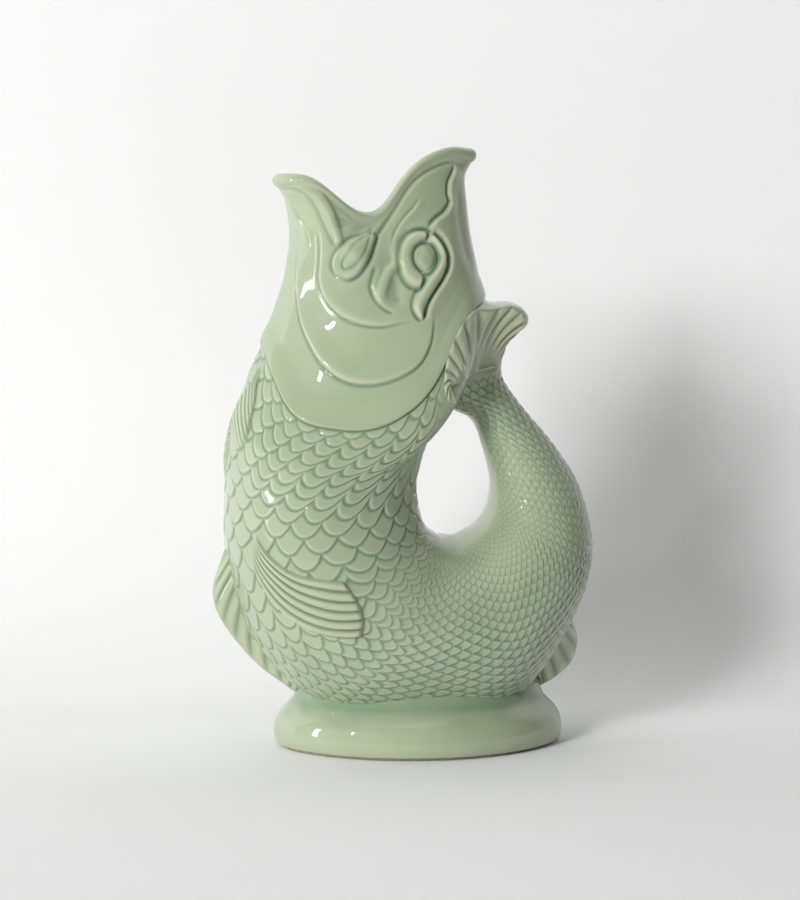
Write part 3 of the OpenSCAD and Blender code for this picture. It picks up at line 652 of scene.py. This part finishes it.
def scale_tree(material):
    """Fish scales in staggered rows. Each row has a whole number of them round the body."""
    bow = 0.72
    sizes = {"Collar Round": 36, "Large Round": 20, "Small Round": 58, "Tail Round": 22,
             "Large By": row_at(8.2), "Small From": row_at(8.9), "Small By": row_at(11.2),
             "Tail From": row_at(14.2), "Tail By": row_at(17.6), "Tilt": 0.06, "Groove": 0.075,
             "Groove Width": 0.0006, "Drift": 0.35}
    tree, n, group_in, size = new_tree("scales", sizes)
    pitch, girth, bare = n.named("pitch"), n.named("girth"), n.named("bare")
    wander = n.add("ShaderNodeTexNoise", {"Scale": 75.0, "Detail": 1.0})
    shift = (n.out(wander, "Fac") - 0.5) * size["Drift"]
    row = n.named("row") + shift
    turn = n.named("turn") + shift * pitch / girth
    edge = n.named("edge")
    whole = n.math("FLOOR", row)
    f = row - whole

    def across(k):
        """The place across its own scale, 1 at either side, and the scales round row k."""
        more = n.smooth(k, size["Small From"], size["Small By"])
        less = n.smooth(k, size["Tail From"], size["Tail By"])
        large = size["Large Round"] + (size["Collar Round"] - size["Large Round"]) * (
            1.0 - n.smooth(k, 0.0, size["Large By"]))
        count = n.math("ROUND", large
                       + (size["Small Round"] - size["Large Round"]) * more
                       + (size["Tail Round"] - size["Small Round"]) * less)
        cell = turn * count + 0.5 * n.math("FLOORED_MODULO", k, 2.0)
        x = n.math("ABSOLUTE", n.math("FRACT", cell) * 2.0 - 1.0)
        return n.math("MINIMUM", x, 0.995), count

    def curve(x):
        """How far a scale's free edge reaches at x, and how steep it is there."""
        rest = 1.0 - x * x
        return n.math("POWER", rest, bow), 2.0 * bow * x * n.math("POWER", rest, bow - 1.0)

    x0, count0 = across(whole)
    x1, _ = across(whole + 1.0)
    xu, _ = across(whole - 1.0)
    reach0, steep0 = curve(x0)
    reach1, steep1 = curve(x1)
    reachu, steepu = curve(xu)
    aspect = pitch * 2.0 * count0 / girth

    def gap(distance, steep):
        """A distance along the rows made one square to the edge, in metres."""
        slope = n.math("MINIMUM", steep * aspect, 4.0)
        return distance * pitch / n.math("SQRT", slope * slope + 1.0)

    inside = n.math("GREATER_THAN", reach0, f)
    own0, own1 = gap(reach0 - f, steep0), gap(reach1 + 1.0 - f, steep1)
    over0, over1 = gap(f + 1.0 - reachu, steepu), gap(f - reach0, steep0)
    own = own1 + (own0 - own1) * inside
    over = over1 + (over0 - over1) * inside
    width = n.math("MINIMUM", size["Groove Width"], pitch * 0.17)
    line = n.math("MAXIMUM", n.bell(own, width), n.bell(over, width * 1.25))
    tilt = 1.0 - n.smooth(own, 0.0, pitch * 1.3)
    rise = (tilt * size["Tilt"] - line * size["Groove"]) * n.math("MINIMUM", pitch, 0.0075)
    shown = 1.0 - bare
    creamy = n.bell(own - width * 1.7, width * 1.1) * 0.5
    stain = 0.35 + 0.45 * n.smooth(pitch, 0.0025, 0.0055)
    raise_skin(n, group_in, rise * shown - edge * 0.0003,
               (line * stain - creamy * 0.7) * shown + edge * 0.8, material)
    return tree, sizes


# Body and tail

def scale_rows():
    """Where the rows of scales lie: a row number for every station, from the collar down."""
    v = np.linspace(COLLAR, LAST, 1400)
    flank = np.full_like(v, 84.0)
    middle = skin(flow(v, flank), flank)
    step = np.linalg.norm(np.diff(middle, axis=0), axis=1)
    mid_v = (v[1:] + v[:-1]) / 2
    spacing = 5.3 + 1.1 * ramp(mid_v, 5.0, 6.5)
    spacing = spacing - 1.7 * ramp(mid_v, 8.8, 10.8) - 1.0 * ramp(mid_v, 12.0, 15.0)
    rows = np.concatenate([[0], np.cumsum(step / (spacing * MM))])
    return v, rows


ROW_V, ROW_N = scale_rows()


def row_at(v):
    """The row number at one station."""
    return float(np.interp(v, ROW_V, ROW_N))


def skin_values(v, a):
    """What the scale tree reads at stations v and angles a, both grids."""
    row = np.interp(v, ROW_V, ROW_N)
    dv = 0.02
    ahead = skin(flow(np.minimum(v + dv, LAST), a), a)
    behind = skin(flow(np.maximum(v - dv, COLLAR), a), a)
    length = np.linalg.norm(ahead - behind, axis=-1)
    rows = np.interp(np.minimum(v + dv, LAST), ROW_V, ROW_N)
    rows = rows - np.interp(np.maximum(v - dv, COLLAR), ROW_V, ROW_N)
    ring = skin(flow(v, a), a)
    girth = np.linalg.norm(ring - np.roll(ring, 1, axis=1), axis=-1).sum(1, keepdims=True)
    inside_hole = ramp(from_belly(a), 148, 166) * ramp(v, 8.0, 10.5)
    nape = ramp(from_belly(a), 96, 118) * (1 - ramp(v, 6.4, 8.0))
    tail_end = ramp(v, LAST - 0.75, LAST - 0.15)
    seam = ramp(-v, -COLLAR - 0.06, -COLLAR - 0.02)
    bare = np.maximum(np.maximum(inside_hole, nape), np.maximum(tail_end, seam))
    edge = bell((v - COLLAR) * length / (2 * dv), 0.9 * MM)
    return {"row": row, "turn": a / 360 + 0 * v, "pitch": length / np.maximum(rows, 1e-6),
            "girth": girth + 0 * v, "bare": bare, "edge": edge,
            "out": outward(flow(v, a), a)}


def skin_section(name, v_from, v_to, outer_rows, columns, inner_rows, closed_end):
    """One closed length of the scaled clay wall, before its scales."""
    a = np.arange(columns) * 360 / columns
    inner_to = CAVITY_END if closed_end else v_to
    inner_v, inner_a = lattice(np.linspace(inner_to, v_from, inner_rows), a)
    v, a = lattice(np.linspace(v_from, v_to, outer_rows), a)
    rows = np.concatenate([above(flow(inner_v, inner_a), inner_a, -WALL), skin(flow(v, a), a)])
    if closed_end:
        points, faces = capped(rows, False)
        sharp = (inner_rows - 1, inner_rows)
    else:
        points, faces = rows.reshape(-1, 3), [ring_faces(len(rows), columns, True)]
        sharp = (0, inner_rows - 1, inner_rows, len(rows) - 1)
    values = {}
    for key, data in skin_values(v, a).items():
        inside = np.full(inner_a.shape + data.shape[2:], float(key in ("pitch", "girth", "bare")))
        data = np.concatenate([inside, data]).reshape(-1, *data.shape[2:])
        values[key] = np.concatenate([data, data[:2]]) if closed_end else data
    return mesh_piece(name, points, faces, values, ring_points(columns, *sharp))


BODY_LENGTHS = (("neck", 5.0, 6.8), ("shoulder", 6.8, 8.6), ("breast", 8.6, 10.3),
                ("belly", 10.3, 11.9), ("loin", 11.9, 13.4), ("rump", 13.4, 15.0))


def make_scaled_body(glaze):
    """The six lengths of the body and then the tail, each under its node's name."""
    tree, sizes = scale_tree(glaze)
    pieces = {name: skin_section(name, start, end, 120, 560, 6, False)
              for name, start, end in BODY_LENGTHS}
    pieces["tail"] = skin_section("tail", BODY_LENGTHS[-1][2], LAST, 280, 320, 14, True)
    return {name: grown(piece, tree, sizes) for name, piece in pieces.items()}


# Fins

def ray_tree(material):
    """Rays down a fin: rounded ribs with narrow grooves between them."""
    sizes = {"Rays": 6, "Ray Height": 0.0012, "Groove Share": 0.35, "Stain": 0.8, "Cream": 0.1}
    tree, n, group_in, size = new_tree("fin_rays", sizes)
    across, strength = n.named("across"), n.named("strength")
    x = n.math("ABSOLUTE", n.math("FRACT", across * size["Rays"]) * 2.0 - 1.0)
    groove = n.bell(1.0 - x, size["Groove Share"])
    crown = 1.0 - n.math("POWER", x, 3.0)
    rise = (crown * 0.6 - groove * 0.5) * size["Ray Height"] * strength
    pool = groove * size["Stain"] - 0.3 * n.bell(x, 0.6) - size["Cream"]
    raise_skin(n, group_in, rise, pool * strength, material)
    return tree


# The fins on the flank, as (station, angle) places, and how far their free ends bulge
PECTORAL_UPPER = [
    (8.25, 38), (8.5, 45), (8.8, 56), (9.0, 66), (9.15, 78), (9.3, 88)]
PECTORAL_LOWER = [
    (8.4, 37), (8.8, 38), (9.15, 41.5), (9.45, 47.5), (9.75, 56), (10.1, 67), (10.42, 79)]
PECTORAL_BOW = (0.16, 5.5)
PELVIC_INNER = [
    (5.15, 9), (5.55, 9), (6.05, 6), (6.5, 2), (6.9, 2), (7.25, 4)]
PELVIC_OUTER = [
    (5.15, 11), (5.55, 12.5), (5.9, 17), (6.3, 19.5), (6.65, 21), (6.95, 18), (7.28, 7)]
PELVIC_BOW = (0.0, 0.0)


def surface_fin(name, upper, lower, rise, bow, slant, taper, mirrored, drop=0.0):
    """A low fin on the flank: a raised plate of skin between two lines of places.

    bow is how far its trailing edge bulges, in stations and degrees. Its rays run from root to
    edge, or across the fin by a slant. Its far end tapers over a share of its length.
    """
    t, w = lattice(np.linspace(0, 1, 100), np.linspace(0, 1, 100))
    bulge = (4 * w * (1 - w) * t * t)[..., None] * np.array(bow)
    place = (along_share(upper, t) * (1 - w[..., None]) + along_share(lower, t) * w[..., None]
             + bulge)
    v, a = place[..., 0] + drop, place[..., 1]
    n = outward(flow(v, a), a)
    base = skin(flow(v, a), a)
    rim = np.minimum(ramp(w, 0, 0.07), ramp(1 - w, 0, 0.07))
    rim = rim * ramp(1 - t, 0, taper) * ramp(t, -0.02, 0.25)
    height = rise * (0.55 + 0.45 * t) * rim ** 0.5 - 0.5 * MM
    values = {"across": w if slant == 0 else t + slant * w,
              "strength": rim * ramp(t, 0.02, 0.2), "out": n}
    return plate(name, base + n * height[..., None], base - n * 1.5 * MM, values, mirrored)


def plate(name, top, under, values, mirrored):
    """A closed plate between two grids of points, with values on its top."""
    rows, columns = top.shape[:2]
    i, j = lattice(np.arange(rows - 1), np.arange(columns - 1))
    p = (i * columns + j).ravel()
    quads = np.stack([p, p + columns, p + columns + 1, p + 1], -1)
    count = rows * columns
    edge = np.concatenate([np.arange(columns - 1), np.arange(rows - 1) * columns + columns - 1,
                           (rows - 1) * columns + np.arange(columns - 1, 0, -1),
                           np.arange(rows - 1, 0, -1) * columns])
    nxt = np.roll(edge, -1)
    wall = np.stack([edge, nxt, nxt + count, edge + count], -1)
    faces = [quads, quads[:, ::-1] + count, wall]
    points = np.vstack([top.reshape(-1, 3), under.reshape(-1, 3)])
    filled = {}
    for key, data in values.items():
        flat = data.reshape(count, -1)
        both = np.vstack([flat, np.zeros_like(flat)])
        filled[key] = both if data.ndim > 2 else both.ravel()
    return mesh_piece(name, points, faces, filled, [edge], mirrored)


# The two fins on the mid-plane, as shares of the fish's length and height from end to end
BELLY_EDGE = [
    (-0.484, 0.265), (-0.512, 0.206), (-0.510, 0.165), (-0.482, 0.125), (-0.436, 0.083),
    (-0.383, 0.045), (-0.335, 0.020), (-0.305, 0.004), (-0.285, -0.004)]
BELLY_ROOT = [
    (-0.440, 0.285), (-0.440, 0.250), (-0.430, 0.215), (-0.410, 0.175), (-0.380, 0.135),
    (-0.335, 0.095), (-0.290, 0.065), (-0.262, 0.048), (-0.240, 0.030)]
REAR_EDGE = [
    (0.466, 0.116), (0.476, 0.082), (0.460, 0.043), (0.415, 0.014), (0.372, -0.002)]
REAR_ROOT = [
    (0.400, 0.155), (0.395, 0.125), (0.375, 0.095), (0.345, 0.075), (0.315, 0.062)]


def upright_fin(name, root, edge, half_t, slant, length=150, depth=46):
    """A fin on the mid-plane: both its sides, from root to edge and back, in one closed loop.

    half_t gives half its thickness from the share of the way out, and slant leans its rays.
    """
    r = np.linspace(0, 1, depth)
    t, r = lattice(np.linspace(0, 1, length), np.concatenate([r, r[-2::-1]]))
    flank = np.ones_like(t)
    flank[:, :depth] = -1
    share = along_share(root, t) * (1 - r[..., None]) + along_share(edge, t) * r[..., None]
    x, z = side(share[..., 0], share[..., 1])
    thin = np.sqrt(np.maximum(1 - r ** 10, 0)) * np.sqrt(ramp(t, 0, 0.06) * ramp(1 - t, 0, 0.06))
    points = np.stack([x, flank * half_t(r) * thin, z], -1)
    out = np.stack([0 * flank, flank, 0 * flank], -1)
    strength = thin * ramp(r, 0.0, 0.25) * (1 - 0.5 * ramp(r, 0.9, 1.0))
    return loops_piece(name, points, t + slant * r, strength, out)


def loops_piece(name, points, across, strength, out):
    """A closed solid over a row of loops of points, with what the ray tree reads."""
    flat, faces = capped(points, False)
    values = {"across": np.concatenate([across.ravel(), [0, 1]]),
              "strength": np.concatenate([strength.ravel(), [0, 0]]),
              "out": np.vstack([out.reshape(-1, 3), np.zeros((2, 3))])}
    return mesh_piece(name, flat, faces, values)


# The tail fin's edge: where it lies on the left of the head, as (station, angle) places, and
# then its free edge in the side view, round to the outside of the tail
FLUKE_ON_HEAD = np.array([(5.3, 120), (4.85, 112), (4.5, 109), (4.25, 110), (4.0, 112.5),
                          (3.85, 117), (3.8, 126), (4.1, 141)])
FLUKE_FREE = np.array([(0.222, 0.708), (0.266, 0.711), (0.298, 0.703), (0.319, 0.686),
                       (0.313, 0.669), (0.288, 0.655), (0.270, 0.640), (0.263, 0.622)])
FLUKE_HALF = np.array([20, 17, 14, 11.5, 9.5, 8, 7, 6]) * MM


def neck_half(x, z):
    """How wide the neck's flank is at places in the side view, and nothing beyond it."""
    v, a = lattice(np.linspace(2.6, 8.6, 130), np.linspace(70, 179, 90))
    flank = skin(v, a).reshape(-1, 3)
    half = np.zeros(x.size)
    spots = np.stack([x.ravel(), z.ravel()], -1)
    for part in np.array_split(np.arange(x.size), 24):
        gap = ((spots[part, None] - flank[None][:, :, [0, 2]]) ** 2).sum(-1)
        k = gap.argmin(1)
        half[part] = np.where(gap[np.arange(len(part)), k] < (1.4 * MM) ** 2, -flank[k, 1], 0)
    return half.reshape(x.shape)


def soft_max(a, b, soft):
    """The larger of two fields, rounded off where they come within soft of one another."""
    apart = np.maximum(1 - np.abs(a - b) / soft, 0)
    return np.maximum(a, b) + soft / 4 * apart ** 2


def make_fluke(length=280, depth=56, strip=25):
    """The tail's fan, which grows from the tail's end and drapes over the back of the head."""
    count = len(FLUKE_ON_HEAD)
    on = np.concatenate([FLUKE_ON_HEAD, [(4.6, 168)] * len(FLUKE_FREE)])
    free_x, free_z = side(*FLUKE_FREE.T)
    free = np.stack([free_x, -FLUKE_HALF, free_z], -1)
    head_edge = above(*FLUKE_ON_HEAD.T, 0.5 * MM)
    t = np.linspace(0, 1, length)
    places = t * (len(on) - 1)
    edge = along(np.concatenate([head_edge, free]), places)
    root = above(LAST - 0.1, 178 - 166 * t, -0.5 * MM)
    r = np.linspace(0, 1, depth)[None, :, None]
    lean = (0.05 + 0.5 * ramp(t, 0.2, 0.6))[:, None]
    reach = np.linalg.norm(edge - root, axis=1, keepdims=True) * lean
    mid = root + reach * np.array([-0.22, 0, 0.97])
    mid[:, 1] = (root[:, 1] + edge[:, 1]) / 2
    near = (root[:, None] * (1 - r) ** 2 + 2 * mid[:, None] * r * (1 - r) + edge[:, None] * r * r)
    draped = neck_half(near[..., 0], near[..., 2])
    draped = blurred(draped + 1.5 * MM * (1 - r[..., 0] ** 4), 2)
    own = -near[..., 1] + 3.5 * MM * np.sin(r[..., 0] * math.pi) ** 0.7
    near[..., 1] = -blurred(soft_max(draped, own, 9 * MM), 150, False)
    near[:, 0] = root
    near[:, -1] = edge
    out = unit(np.cross(np.gradient(near, axis=0), np.gradient(near, axis=1)))
    out *= np.sign(-out[..., 1:2] + 1e-9)
    s = np.linspace(0, 1, strip)[None, 1:-1, None]
    across_gap = near[:, -1:] * (1 - s) + near[:, None, -1] * MIRROR * s
    bulge = unit((near[:, -1:] - near[:, -3:-2]) * [1, 0, 1])
    across_gap = across_gap + bulge * 2.6 * MM * np.sin(s * math.pi) ** 0.6
    v, a = along(on[:, 0], places)[:, None], along(on[:, 1], places)[:, None]
    a = a * (1 - s[..., 0]) + (360 - a) * s[..., 0]
    under = above(v, a, -2.2 * MM)
    free_share = ramp(places, count - 1.6, count + 0.2)[:, None, None]
    middle = under * (1 - free_share) + across_gap * free_share
    loops = np.concatenate([near, middle, near[:, ::-1] * MIRROR], 1)
    rr = np.broadcast_to(r[..., 0], near.shape[:2])
    ends = (ramp(t, 0.03, 0.10) * ramp(1 - t, 0.02, 0.12))[:, None]
    strength = ramp(rr, 0.2, 0.5) * (0.6 + 0.4 * rr) * ends * (1 - ramp(rr, 0.93, 1.0))
    strength = np.concatenate([strength, np.zeros(middle.shape[:2]), strength[:, ::-1]], 1)
    bent = np.concatenate([rr, np.ones(middle.shape[:2]), rr[:, ::-1]], 1)
    across = t[:, None] + 0.05 * bent * bent
    outs = np.concatenate([out, np.zeros(middle.shape), out[:, ::-1] * MIRROR], 1)
    return loops_piece("tail_fin", loops, across, strength, outs)


def make_fins(glaze):
    """The seven fins with their ribs, each under its node's name."""
    tree = ray_tree(glaze)

    def ribbed(fin, rays, height, groove=0.35, stain=0.8, cream=0.1):
        return grown(fin, tree, {"Rays": rays, "Ray Height": height * MM, "Groove Share": groove,
                                 "Stain": stain, "Cream": cream})

    pieces = {}
    for hand, mirrored in HANDS:
        name = "pectoral_fin_" + hand
        fin = surface_fin(name, PECTORAL_UPPER, PECTORAL_LOWER, 2.8 * MM, PECTORAL_BOW, 0.0, 0.03,
                          mirrored)
        pieces[name] = ribbed(fin, 6, 1.5, groove=0.24)
        name = "pelvic_fin_" + hand
        fin = surface_fin(name, PELVIC_INNER, PELVIC_OUTER, 2.2 * MM, PELVIC_BOW, -0.22, 0.35,
                          mirrored, 0.65 if mirrored else 0.0)
        pieces[name] = ribbed(fin, 11, 0.9)
    keel = upright_fin("belly_fin", BELLY_ROOT, BELLY_EDGE, lambda r: (6.0 - 4.0 * r) * MM, -0.16)
    pieces["belly_fin"] = ribbed(keel, 10, 1.1, groove=0.7, stain=0.45, cream=0.2)
    keel = upright_fin("rear_fin", REAR_ROOT, REAR_EDGE, lambda r: (15.0 - 12.0 * r) * MM, -0.16,
                       90, 36)
    pieces["rear_fin"] = ribbed(keel, 5, 1.3, groove=0.7, cream=0.35)
    pieces["tail_fin"] = ribbed(make_fluke(), 15, 1.4, groove=0.5, stain=0.5, cream=0.35)
    return pieces


# Foot

FOOT_L = 0.1295
FOOT_W = 0.098
FOOT_FLARE = 0.008
FOOT_WALL = 0.006
FOOT_X = 0.039 * JUG_L
FOOT_ROOF = 0.0082
RING_H = 0.0016
OVAL_COLUMNS = 240
# The foot's side from the table up, as shares of its flare and its height
FOOT_SIDE = [
    (0.42, 0.00), (0.20, 0.05), (0.06, 0.14), (0.00, 0.26), (0.03, 0.39), (0.13, 0.52),
    (0.30, 0.62), (0.53, 0.71), (0.80, 0.80), (1.03, 0.89), (1.18, 1.00), (1.30, 1.13),
    (1.55, 1.24), (1.95, 1.32), (2.50, 1.38)]


def oval(inset, z):
    """The foot's plan at a height, drawn in from its widest outline: an oval of four arcs."""
    end_r = FOOT_W * 0.34
    end_x = FOOT_L / 2 - end_r
    side_y = (end_x ** 2 - (FOOT_W / 2 - end_r) ** 2) / (FOOT_W - 2 * end_r)
    side_r = FOOT_W / 2 + side_y
    half = math.atan2(side_y, end_x)
    out = np.zeros((OVAL_COLUMNS, 3))
    for k, t in enumerate(np.arange(OVAL_COLUMNS) * 2 * math.pi / OVAL_COLUMNS):
        t = (t + math.pi) % (2 * math.pi) - math.pi
        if abs(t) < half:
            centre, radius = (end_x, 0), end_r
        elif abs(t) > math.pi - half:
            centre, radius = (-end_x, 0), end_r
        else:
            centre, radius = (0, -side_y * math.copysign(1, t)), side_r
        out[k] = (centre[0] + (radius - inset) * math.cos(t) + FOOT_X,
                  centre[1] + (radius - inset) * math.sin(t), z)
    return out


def make_foot():
    """The glazed plinth, a closed solid of ovals from its recess's roof out and up to its top."""
    t = np.linspace(0, len(FOOT_SIDE) - 1, 110)
    outline = along(FOOT_SIDE, t) * [FOOT_FLARE, FOOT_H]
    outline = outline[outline[:, 1] > RING_H]
    start = np.interp(RING_H, outline[:, 1], outline[:, 0])
    recess = [(0.03, FOOT_ROOF), (FOOT_WALL + 0.002, FOOT_ROOF), (FOOT_WALL, FOOT_ROOF - 0.002),
              (FOOT_WALL, RING_H), (start, RING_H)]
    profile = np.vstack([recess, outline])
    points, faces = capped(np.array([oval(*p) for p in profile]), True)
    pool = np.interp(profile[:, 0], [0, 0.006, 0.0083, 0.011], [-0.1, 0.1, 0.5, 0.35])
    values = {"pool": np.concatenate([np.repeat(pool, OVAL_COLUMNS), [0, 0]])}
    return mesh_piece("foot", points, faces, values)


def make_foot_ring():
    """The bare ring that stands on the table, with its two lower edges worn round."""
    outer, bevel = 0.42 * FOOT_FLARE, 0.0004
    rows = [(FOOT_WALL, RING_H), (FOOT_WALL, bevel), (FOOT_WALL - bevel, 0.0),
            (outer + 0.0003, 0.0), (outer, bevel), (0.0017, RING_H)]
    rings = np.array([oval(*p) for p in rows])
    faces = [ring_faces(len(rows), OVAL_COLUMNS, True)[:, ::-1]]
    points = rings.reshape(-1, 3)
    return mesh_piece("foot_ring", points, faces, {"pool": np.zeros(len(points))})


# Materials

def linear(*srgb):
    """A colour as written in the picture, for a shader's socket."""
    values = [c / 255 for c in srgb]
    values = [c / 12.92 if c < 0.04045 else ((c + 0.055) / 1.055) ** 2.4 for c in values]
    return (*values, 1.0)


def new_material(name):
    material = bpy.data.materials.new(name)
    material.use_nodes = True
    tree = material.node_tree
    return material, Nodes(tree), tree.nodes["Principled BSDF"]


def noise(n, scale, detail):
    """A noise on object coordinates."""
    place = n.out(n.add("ShaderNodeTexCoord"), "Object")
    return n.out(n.add("ShaderNodeTexNoise", {"Vector": place, "Scale": scale, "Detail": detail}),
                 "Fac")


def colours(n, source, *stops):
    """Colours from (place, red, green, blue) stops along a field."""
    node = n.add("ShaderNodeValToRGB", {0: source})
    elements = node.color_ramp.elements
    while len(elements) < len(stops):
        elements.new(0.5)
    for element, (at, *colour) in zip(elements, stops):
        element.position = at
        element.color = linear(*colour)
    return n.out(node)


def bump(n, height, strength, distance):
    """A shader's normal from a fine relief."""
    return n.out(n.add("ShaderNodeBump", {"Height": height, "Strength": strength,
                                          "Distance": distance}))


def celadon_glaze():
    """A clear green glaze that runs off the ridges and pools in the grooves."""
    material, n, shader = new_material("celadon_glaze")
    pool = n.out(n.add("ShaderNodeAttribute", attribute_name="pool"), "Fac")
    drift = n.math("MULTIPLY_ADD", noise(n, 45.0, 3.0), 0.5, -0.25)
    thickness = n.add("ShaderNodeMapRange", {"Value": pool + drift, "From Min": -1.0,
                                             "From Max": 1.2})
    tint = colours(n, n.out(thickness), (0.0, 202, 203, 173), (0.28, 185, 193, 163),
                   (0.46, 170, 183, 153), (0.72, 130, 154, 128), (1.0, 94, 124, 104))
    n.put(shader, {"Base Color": tint, "Normal": bump(n, noise(n, 60.0, 1.0), 0.05, 0.001),
                   "Roughness": 0.42, "IOR": 1.5, "Coat Weight": 1.0, "Coat Roughness": 0.04,
                   "Coat IOR": 1.55})
    return material


def bare_clay():
    """The unglazed ring: cream clay, stained a little browner in its pores."""
    material, n, shader = new_material("bare_clay")
    grain = noise(n, 900.0, 4.0)
    tint = colours(n, grain, (0.3, 126, 118, 102), (0.7, 172, 164, 144))
    n.put(shader, {"Base Color": tint, "Normal": bump(n, grain, 0.25, 0.0004), "Roughness": 0.85})
    return material


# The room

def camera_ray(n):
    """One for what the camera sees directly."""
    return n.out(n.add("ShaderNodeLightPath"), "Is Camera Ray")


def studio_white():
    """White paper that is there on its front only, so that the jug shows from behind as well."""
    material, n, shader = new_material("studio_white")
    n.put(shader, {"Base Color": linear(248, 248, 248), "Roughness": 1.0,
                   "Specular IOR Level": 0.0, "Emission Color": WHITE,
                   "Emission Strength": camera_ray(n) * 0.04})
    behind = n.out(n.add("ShaderNodeNewGeometry"), "Backfacing")
    clear = n.out(n.add("ShaderNodeBsdfTransparent"))
    paper = n.add("ShaderNodeMixShader", {0: behind, 1: n.out(shader), 2: clear})
    n.put(n.tree.nodes["Material Output"], {"Surface": n.out(paper)})
    return material


def make_backdrop():
    """A floor that sweeps up into a wall."""
    wide, front, back, radius, top = 1.6, -2.2, 0.25, 0.16, 1.7
    bend = [(back - radius + radius * math.sin(t), radius - radius * math.cos(t))
            for t in np.linspace(0, math.pi / 2, 24)]
    line = [(front, 0.0)] + bend + [(back, top)]
    points = np.array([(x, y, z) for y, z in line for x in (-wide, wide)])
    k = np.arange(len(line) - 1) * 2
    faces = [np.stack([k, k + 1, k + 3, k + 2], -1)]
    sweep = mesh_piece("sweep", points, faces)
    sweep.data.materials.append(studio_white())


def area_light(name, place, target, size, power, glint=True):
    """A rectangle of light that may or may not show as a glint in the glaze."""
    data = bpy.data.lights.new(name, "AREA")
    data.shape = "RECTANGLE"
    data.size, data.size_y = size
    data.energy = power
    lamp = bpy.data.objects.new(name, data)
    lamp.visible_glossy = glint
    lamp.location = place
    lamp.rotation_euler = (Vector(target) - Vector(place)).to_track_quat("-Z", "Y").to_euler()
    bpy.context.scene.collection.objects.link(lamp)


def make_lights():
    middle = (0.0, 0.0, 0.13)
    area_light("key", (-2.86, -3.54, 1.60), middle, (1.1, 1.1), 156.0, False)
    area_light("strip", (-2.20, -1.75, 1.15), middle, (0.10, 0.42), 8.0)
    area_light("window", (-1.9, -0.35, 0.45), middle, (0.16, 0.7), 4.0)
    area_light("top", (-0.2, -0.3, 1.6), middle, (1.4, 1.0), 3.4)


def make_world():
    """A dim white room, which the camera sees as pale where the paper ends."""
    world = bpy.data.worlds.new("room")
    bpy.context.scene.world = world
    world.use_nodes = True
    n = Nodes(world.node_tree)
    strength = n.math("MULTIPLY_ADD", camera_ray(n), 0.85, 0.045)
    n.put(n.tree.nodes["Background"], {"Color": WHITE, "Strength": strength})


# The width of the photograph in pixels, and of one pixel at the jug in metres
PICTURE = 800
PIXEL = 0.0004417


def make_camera():
    """The photograph's view: 1.3 m away, turned a little towards the belly."""
    turn, away = math.radians(9.0), 1.3
    data = bpy.data.cameras.new("camera")
    data.sensor_fit = "HORIZONTAL"
    data.sensor_width = 36.0
    data.lens = data.sensor_width * away / (PICTURE * PIXEL)
    data.shift_x = -4 / PICTURE
    data.shift_y = -2 / PICTURE
    data.clip_end = 20
    camera = bpy.data.objects.new("camera", data)
    camera.location = (-math.sin(turn) * away, -math.cos(turn) * away, 0.250)
    aim = Vector((0.0, 0.0, 0.132)) - camera.location
    camera.rotation_euler = aim.to_track_quat("-Z", "Y").to_euler()
    bpy.context.scene.collection.objects.link(camera)
    bpy.context.scene.camera = camera


# Putting it together

def settle(name, piece, material):
    """Gives a piece its material, and lets it take its node's place."""
    if not piece.data.materials:
        piece.data.materials.append(material)
    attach(piece, "root")
    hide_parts(name)


def main():
    glaze = celadon_glaze()
    grid = HeadSkin()
    glazed = {"head": make_head(grid), **make_scaled_body(glaze), **make_fins(glaze)}
    for hand, mirrored in HANDS:
        glazed["eyelid_" + hand] = make_eyelid("eyelid_" + hand, grid, mirrored)
        glazed["eye_" + hand] = make_eye("eye_" + hand, mirrored)
    glazed["foot"] = make_foot()
    for name, piece in glazed.items():
        settle(name, piece, glaze)
    settle("foot_ring", make_foot_ring(), bare_clay())
    make_backdrop()
    make_lights()
    make_world()
    make_camera()
    bpy.context.scene.view_settings.view_transform = "Standard"


main()
